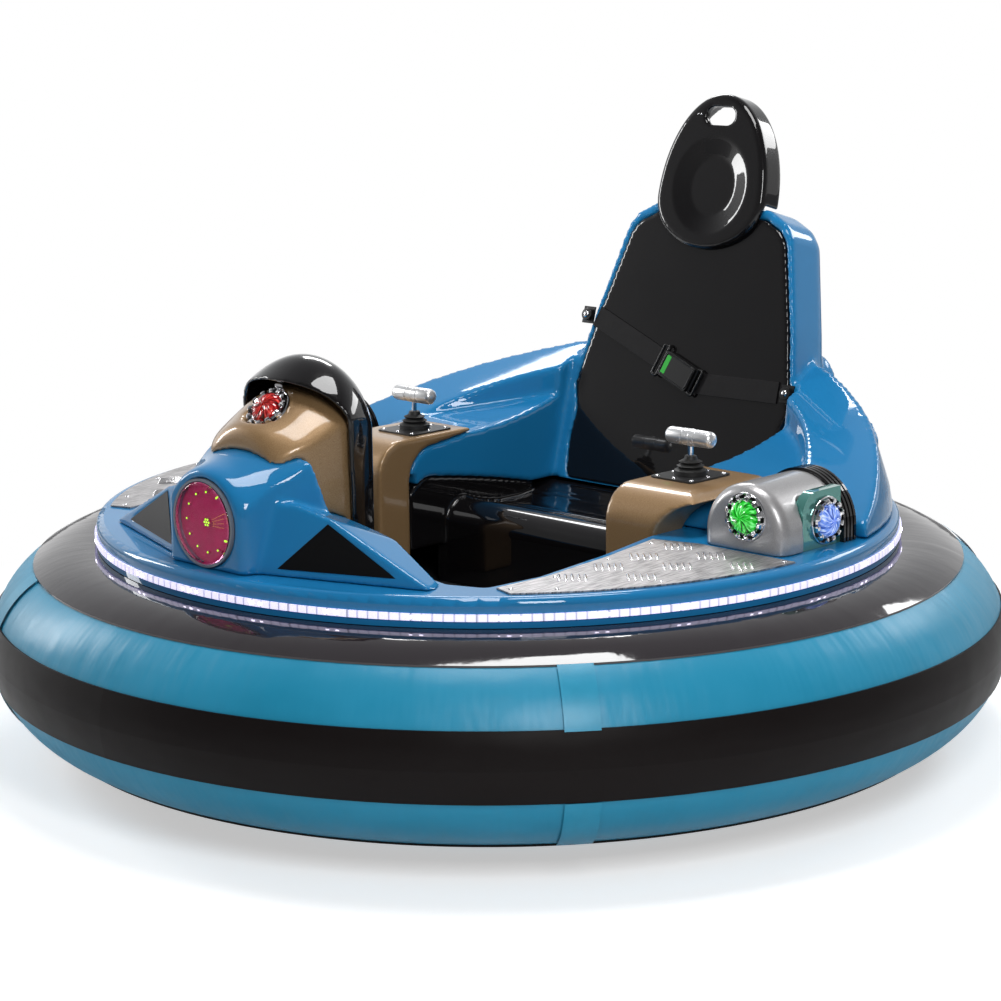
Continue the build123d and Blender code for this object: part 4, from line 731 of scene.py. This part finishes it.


# columns: node, piece, slot, places, dark shade, lit shade, brightest shade, glow; the three shades are
# painted sparkle
GEMS = [("jewel_lens_red", "red_gem", "red_lens", [red_face],
         (0.03, 0.0, 0.0), (0.30, 0.0, 0.002), (1.0, 0.10, 0.08), 0.20),
        ("jewel_lenses_green", "green_gems", "green_lens", green_faces,
         (0.0, 0.05, 0.001), (0.002, 0.42, 0.01), (0.24, 1.0, 0.30), 0.60),
        ("jewel_lenses_blue", "blue_gems", "blue_lens", blue_faces,
         (0.03, 0.07, 0.34), (0.14, 0.26, 0.74), (0.80, 0.90, 1.0), 0.50)]
for node, name, slot, places, dark, lit, bright, strength in GEMS:
    lens = shader(slot, lit, 0.06, coat=1.0)
    tree = lens.node_tree
    swirled = add_node(tree, "ShaderNodeMapping",
                       {"Vector": add_node(tree, "ShaderNodeUVMap", uv_map="swirl"), "Scale": SWIRL})
    # The swirl of dark, lit and brightest shades in the base and glow colours is painted sparkle: the facets'
    # glints are painted in, over the lamp's own glow
    painted_glints = add_node(tree, "ShaderNodeTexNoise", {"Vector": swirled, "Scale": 1.0, "Detail": 1.5})
    shades = add_ramp(tree, painted_glints, (0.34, dark), (0.50, lit), (0.74, bright))
    glow(lens, lit, strength)
    feed(lens, "Base Color", shades)
    feed(lens, "Emission Color", shades)
    gems = bmesh.new()
    for place in places:
        gems.from_mesh(gem_mesh(place))
    fit(link(name, mesh_of(name, gems), lens), slot, node)

# Lamp clip: a small plated clip behind the red lamp that holds it to the hood, under the
# visor's lip.
# columns: back from the bezel's middle, height over the lamp's seat, half width
CLIP = [(0.043, 0.001, 0.010), (0.044, 0.010, 0.010), (0.047, 0.013, 0.0095), (0.060, 0.0135, 0.008),
        (0.063, 0.011, 0.0075), (0.064, 0.001, 0.0075)]
# Section of the clip: share of its half width, height past its line
CLIP_SECTION = [(1, 0), (0.7, 0.0012), (-0.7, 0.0012), (-1, 0), (-0.95, -0.0015), (0.95, -0.0015)]
clip = capped("clip", [[red_face @ Vector((half * share, back, rise + up)) for share, up in CLIP_SECTION]
                       for back, rise, half in CLIP])
fit(join("lamp_clip", [clip], chrome), "chrome")

# Tread plates: brushed aluminium sheet with five raised bars in every other cell of its
# pattern, and chromed rivets along the edges.
PLATE_TURN = 133.7
tread_aluminium = shader("tread_aluminium", (0.80, 0.78, 0.785), 0.34, metallic=0.85)
brushed = noise_in(tread_aluminium, 26.0, (1, 16, 1), turn=(0, 0, radians(-PLATE_TURN)))
vary_roughness(tread_aluminium, brushed, 0.28, 0.55)
mottle(tread_aluminium, brushed, (0.15, 0.145, 0.148), (0.56, 0.545, 0.55), 0.34, 0.62)
bump(tread_aluminium, brushed, 0.25, 0.0006)
bar_aluminium = shader("bar_aluminium", (0.86, 0.85, 0.86), 0.22, metallic=0.9)
vary_roughness(bar_aluminium, noise_in(bar_aluminium, 90.0), 0.18, 0.30)
TREAD_FOOT, TREAD_TOP, TREAD_OUT, TREAD_BEVEL = 0.4554, 0.4583, 0.748, 0.0009
TREAD_TIP, TREAD_END, TREAD_ARC_STEPS, TREAD_MARGIN = 0.528, 0.036, 40, 0.006
BAR_LONG, BAR_HALF, BAR_RISE, BAR_STEP, BAR_TESTED = 0.028, 0.0036, 0.0042, 0.0112, 0.8
CELL_WIDE, CELL_DEEP, CELL_SHIFT, CELL_START, CELL_REACH = 0.0587, 0.0757, 0.0063, (0.3200, -0.4194), 14
# Inner corners of the left plate, from its tip: x, y
TREAD_CORNERS = [(0.514, 0.487), (0.400, 0.497), (0.215, 0.474), (0.062, 0.445), (TREAD_END, 0.530)]
TREAD_RIVETS = [(0.506, 0.512), (0.455, 0.570), (0.300, 0.667), (0.150, 0.719), (0.050, 0.733),
                (0.395, 0.511), (0.235, 0.491), (0.090, 0.467)]
tip_turn = atan2(sqrt(TREAD_OUT ** 2 - TREAD_TIP ** 2), TREAD_TIP)
end_turn = atan2(sqrt(TREAD_OUT ** 2 - TREAD_END ** 2), TREAD_END)
outline = [(TREAD_OUT * cos(tip_turn), TREAD_OUT * sin(tip_turn))] + TREAD_CORNERS
for step in range(TREAD_ARC_STEPS):
    turn = end_turn + (tip_turn - end_turn) * step / TREAD_ARC_STEPS
    outline.append((TREAD_OUT * cos(turn), TREAD_OUT * sin(turn)))


def on_tread(x, y, margin):
    """Whether a point of the left plate lies inside its outline by the margin."""
    inside = False
    for start, end in zip(outline, outline[1:] + outline[:1]):
        run, gone = Vector(end) - Vector(start), Vector((x, y)) - Vector(start)
        if (start[1] > y) != (end[1] > y) and gone.x < run.x * gone.y / run.y:
            inside = not inside
        share = max(0.0, min(1.0, run.dot(gone) / run.length_squared))
        if (gone - run * share).length < margin:
            return False
    return inside


sheets = []
for side in (1, -1):
    sheet = bmesh.new()
    foot, top = [[sheet.verts.new((x, side * y, height)) for x, y in outline]
                 for height in (TREAD_FOOT, TREAD_TOP)]
    sheet.faces.new(foot)
    sheet.faces.new(top)
    for index in range(len(outline)):
        after = (index + 1) % len(outline)
        sheet.faces.new((foot[index], foot[after], top[after], top[index]))
    top_edges = [edge for edge in sheet.edges if all(vert.co.z > TREAD_FOOT + 0.001 for vert in edge.verts)]
    bmesh.ops.bevel(sheet, geom=top_edges, offset=TREAD_BEVEL, segments=2, affect="EDGES")
    sheets.append(mesh_of("sheet", sheet))
fit(join("tread_sheets", sheets, tread_aluminium), "tread_aluminium", "tread_plates")
bars = []
plate_turn = Matrix.Rotation(radians(PLATE_TURN), 2)
for across in range(-CELL_REACH, CELL_REACH + 1):
    for along in range(-CELL_REACH, CELL_REACH + 1):
        for bar in range(-2, 3):
            spot = Vector((CELL_START[0] + across * CELL_WIDE - along * CELL_SHIFT + bar * BAR_STEP,
                           CELL_START[1] - along * CELL_DEEP))
            ends = [plate_turn @ (spot + Vector((0, BAR_LONG * way))) for way in (-BAR_TESTED, 0, BAR_TESTED)]
            if (across + along) % 2 or not all(on_tread(*end, TREAD_MARGIN) for end in ends):
                continue
            x, y = plate_turn @ spot
            bars += [Matrix.Translation((x, side * y, TREAD_TOP))
                     @ Matrix.Rotation(radians(PLATE_TURN + 90) * side, 4, "Z") for side in (1, -1)]
domed_heads("tread_bars", bars, BAR_HALF, BAR_RISE, bar_aluminium, "tread_aluminium", length=BAR_LONG)
rivets = [Matrix.Translation((x, side * y, TREAD_TOP)) for x, y in TREAD_RIVETS for side in (1, -1)]
domed_heads("tread_rivets", rivets, 0.0045, 0.0022, chrome, "chrome")

# Rear shell: one blue moulding behind and beside the seat, with a hump on each side and the
# two tail lamps let into its back.
moulded("rear_moulding", "rear_shell", "blue_gelcoat", blue_gelcoat, 0.0056, 9)

# Seat: black glass fibre back and pan, and a headrest that is a thin dished shell, open
# behind, with a hand hole through it and two small screws beside the hole.
moulded("seat_back_shell", "seat_back", "black_gelcoat", black_gelcoat, 0.004, 6)
moulded("seat_pan_shell", "seat_pan", "black_gelcoat", black_gelcoat, 0.004, 5)
HEAD_WIDE, HEAD_UP, HEAD_DOWN, HEAD_FRONT, HEAD_BEHIND = 0.140, 0.216, 0.108, 0.020, 0.070
SHELL_WALL, SHELL_FRONT, EGG_SHIFT, EGG_STEPS = 0.009, 0.017, -0.040, 96
HEAD_SCREWS = [(-0.058, 0.131), (-0.050, 0.131)]
head_place = facing((-0.6647, 0, 1.0312), (0.974, 0, 0.2267), (0, 1, 0))


def egg_ring(inset, depth):
    """The headrest's outline, drawn in by the inset, at a depth from its face."""
    ring = []
    for step in range(EGG_STEPS):
        turn = 2 * pi * step / EGG_STEPS
        tall = (HEAD_UP if sin(turn) > 0 else HEAD_DOWN) - inset
        ring.append(head_place @ Vector(((HEAD_WIDE - inset) * cos(turn), EGG_SHIFT + tall * sin(turn),
                                         HEAD_FRONT - depth)))
    return ring


# Rings of the hollow behind the headrest's face: inset past the wall, depth
hollow_rings = [(0.012, SHELL_FRONT), (0.003, SHELL_FRONT + 0.004), (0.0, SHELL_FRONT + 0.012),
                (0.0, HEAD_BEHIND)]
hollow = capped("hollow", [egg_ring(SHELL_WALL + inset, depth) for inset, depth in hollow_rings])
moulded("headrest_shell", "headrest", "black_gelcoat", black_gelcoat, 0.0026, 10, hollow)
domed_heads("headrest_screws", [head_place @ Matrix.Translation((across, up, HEAD_FRONT))
                                for across, up in HEAD_SCREWS], 0.0020, 0.0014, chrome, "chrome")

# Lap belt: black webbing from a bolted anchor on each side of the seat to a buckle with a
# green button, and a tongue with its frame on the far half.
webbing = shader("webbing", (0.006, 0.0055, 0.006), 0.6, specular=0.2)
weave = noise_in(webbing, 700.0)
mottle(webbing, weave, (0.004, 0.0038, 0.004), (0.011, 0.010, 0.011))
bump(webbing, weave, 0.3, 0.0006)
bump(webbing, noise_in(webbing, 26.0), 0.25, 0.004)
buckle_plastic = shader("buckle_plastic", (0.008, 0.008, 0.0085), 0.3, specular=0.4)
bump(buckle_plastic, noise_in(buckle_plastic, 500.0), 0.08, 0.0004)
button_green = shader("button_green", (0.012, 0.42, 0.03), 0.35)
bump(button_green, noise_in(button_green, 300.0), 0.05, 0.0004)
finish_nodes(webbing, "belt_webbing")
finish_nodes(buckle_plastic, "belt_buckle", "belt_anchors")
finish_nodes(button_green, "belt_button")
BUCKLE_MIDDLE, BUCKLE_TURN, CORNER_STEPS, ROD_SIDES = (-0.004, 0.266, 0), radians(158.99), 6, 10
ANCHOR_TOP, BELT_BOLTS = 0.0103, [(-0.278, 0.362), (0.278, 0.250)]
WASHER = [(0.0, 0.0), (0.013, 0.0), (0.0135, 0.0008), (0.0125, 0.0022), (0.0, 0.0028)]
back_place = facing((-0.484, 0, 0.384), (0.9632, 0, 0.2689), (0, 1, 0))
buckle_place = back_place @ Matrix.Translation(BUCKLE_MIDDLE) @ Matrix.Rotation(BUCKLE_TURN, 4, "Z")
bolt_places = [back_place @ Matrix.Translation((across, up, ANCHOR_TOP)) for across, up in BELT_BOLTS]
washers = [lathe("washer", WASHER, place, 32) for place in bolt_places]
fit(join("belt_washers", washers, buckle_plastic), "buckle_plastic")
domed_heads("belt_bolts", [place @ Matrix.Translation((0, 0, 0.0022)) for place in bolt_places],
            0.0075, 0.0040, chrome, "chrome")


def rounded_frame(along, long, wide, corner, thick, rise):
    """A round-cornered frame of round rod, some way along the belt from the buckle's middle."""
    place = buckle_place @ Matrix.Translation((along, 0, 0))
    rings = []
    for quarter, (x, y) in enumerate(((1, 1), (-1, 1), (-1, -1), (1, -1))):
        for step in range(CORNER_STEPS + 1):
            turn = pi / 2 * quarter + pi / (2 * CORNER_STEPS) * step
            out = Vector((cos(turn), sin(turn), 0))
            middle = Vector((x * (long / 2 - corner), y * (wide / 2 - corner), rise)) + out * corner
            rings.append([place @ (middle + (out * cos(side) + Vector((0, 0, sin(side)))) * thick)
                          for side in (2 * pi * k / ROD_SIDES for k in range(ROD_SIDES))])
    return grid("frame", rings + [rings[0]], closed=True)


# columns: along the belt, length, width, corner, half thickness, height: lip, tongue and slider
BELT_FRAMES = [(0.0, 0.080, 0.048, 0.008, 0.0014, 0.0163), (0.053, 0.014, 0.068, 0.005, 0.0032, 0.010),
               (-0.052, 0.012, 0.056, 0.004, 0.0026, 0.008)]
fit(join("belt_frames", [rounded_frame(*sizes) for sizes in BELT_FRAMES], buckle_plastic), "buckle_plastic")

# Running gear: a black steel frame and motors, rubber-tyred drive wheels on cast hubs, plated
# casters with solid tyres, the bolts that hold them, and the closed battery case.
zinc_steel = shader("zinc_steel", (0.52, 0.53, 0.54), 0.35, metallic=1.0)
vary_roughness(zinc_steel, noise_in(zinc_steel, 45.0), 0.28, 0.45)
tyre_rubber = shader("tyre_rubber", (0.020, 0.020, 0.021), 0.7)
mottle(tyre_rubber, noise_in(tyre_rubber, 25.0), (0.015, 0.015, 0.016), (0.032, 0.031, 0.030))
bump(tyre_rubber, noise_in(tyre_rubber, 260.0), 0.3, 0.0008)
hub_aluminium = shader("hub_aluminium", (0.45, 0.45, 0.46), 0.45, metallic=1.0)
bump(hub_aluminium, noise_in(hub_aluminium, 180.0), 0.15, 0.0006)
battery_case = shader("battery_case", (0.03, 0.03, 0.035), 0.6)
bump(battery_case, noise_in(battery_case, 300.0), 0.15, 0.0006)
finish_nodes(black_steel, "chassis_frame", "drive_motors")
finish_nodes(zinc_steel, "caster_plates", "caster_fork_front", "caster_fork_rear")
finish_nodes(tyre_rubber, "drive_tyre_left", "drive_tyre_right", "caster_wheel_front", "caster_wheel_rear")
finish_nodes(hub_aluminium, "drive_hub_left", "drive_hub_right")
finish_nodes(battery_case, "battery_block")
FLOOR_TOP, PLATE_FOOT, CASTER_FORE = 0.215, 0.1534, 0.430
HUB_OUT, HUB_HEIGHT, HUB_BOLT_RING = 0.310, 0.100, 0.038
FLOOR_BOLTS_X, FLOOR_BOLTS_Y = (-0.330, 0.330), (-0.150, 0.150)
CASTER_BOLTS_X, CASTER_BOLTS_Y = (-0.041, 0.041), (-0.033, 0.033)
floor_bolts = [Matrix.Translation((x, y, FLOOR_TOP)) for x in FLOOR_BOLTS_X for y in FLOOR_BOLTS_Y]
domed_heads("floor_bolts", floor_bolts, 0.0085, 0.0045, zinc_steel, "zinc_steel")
caster_bolts = [facing((end * CASTER_FORE + x, y, PLATE_FOOT), (0, 0, -1), (1, 0, 0)) for end in (1, -1)
                for x in CASTER_BOLTS_X for y in CASTER_BOLTS_Y]
domed_heads("caster_bolts", caster_bolts, 0.0055, 0.0035, zinc_steel, "zinc_steel")
for side, name in ((1, "left"), (-1, "right")):
    hub_face = facing((0, side * HUB_OUT, HUB_HEIGHT), (0, side, 0), (1, 0, 0))
    domed_heads("wheel_bolts_" + name, on_circle(hub_face, HUB_BOLT_RING, 5), 0.0065, 0.0042,
                zinc_steel, "zinc_steel", "drive_wheel_" + name)
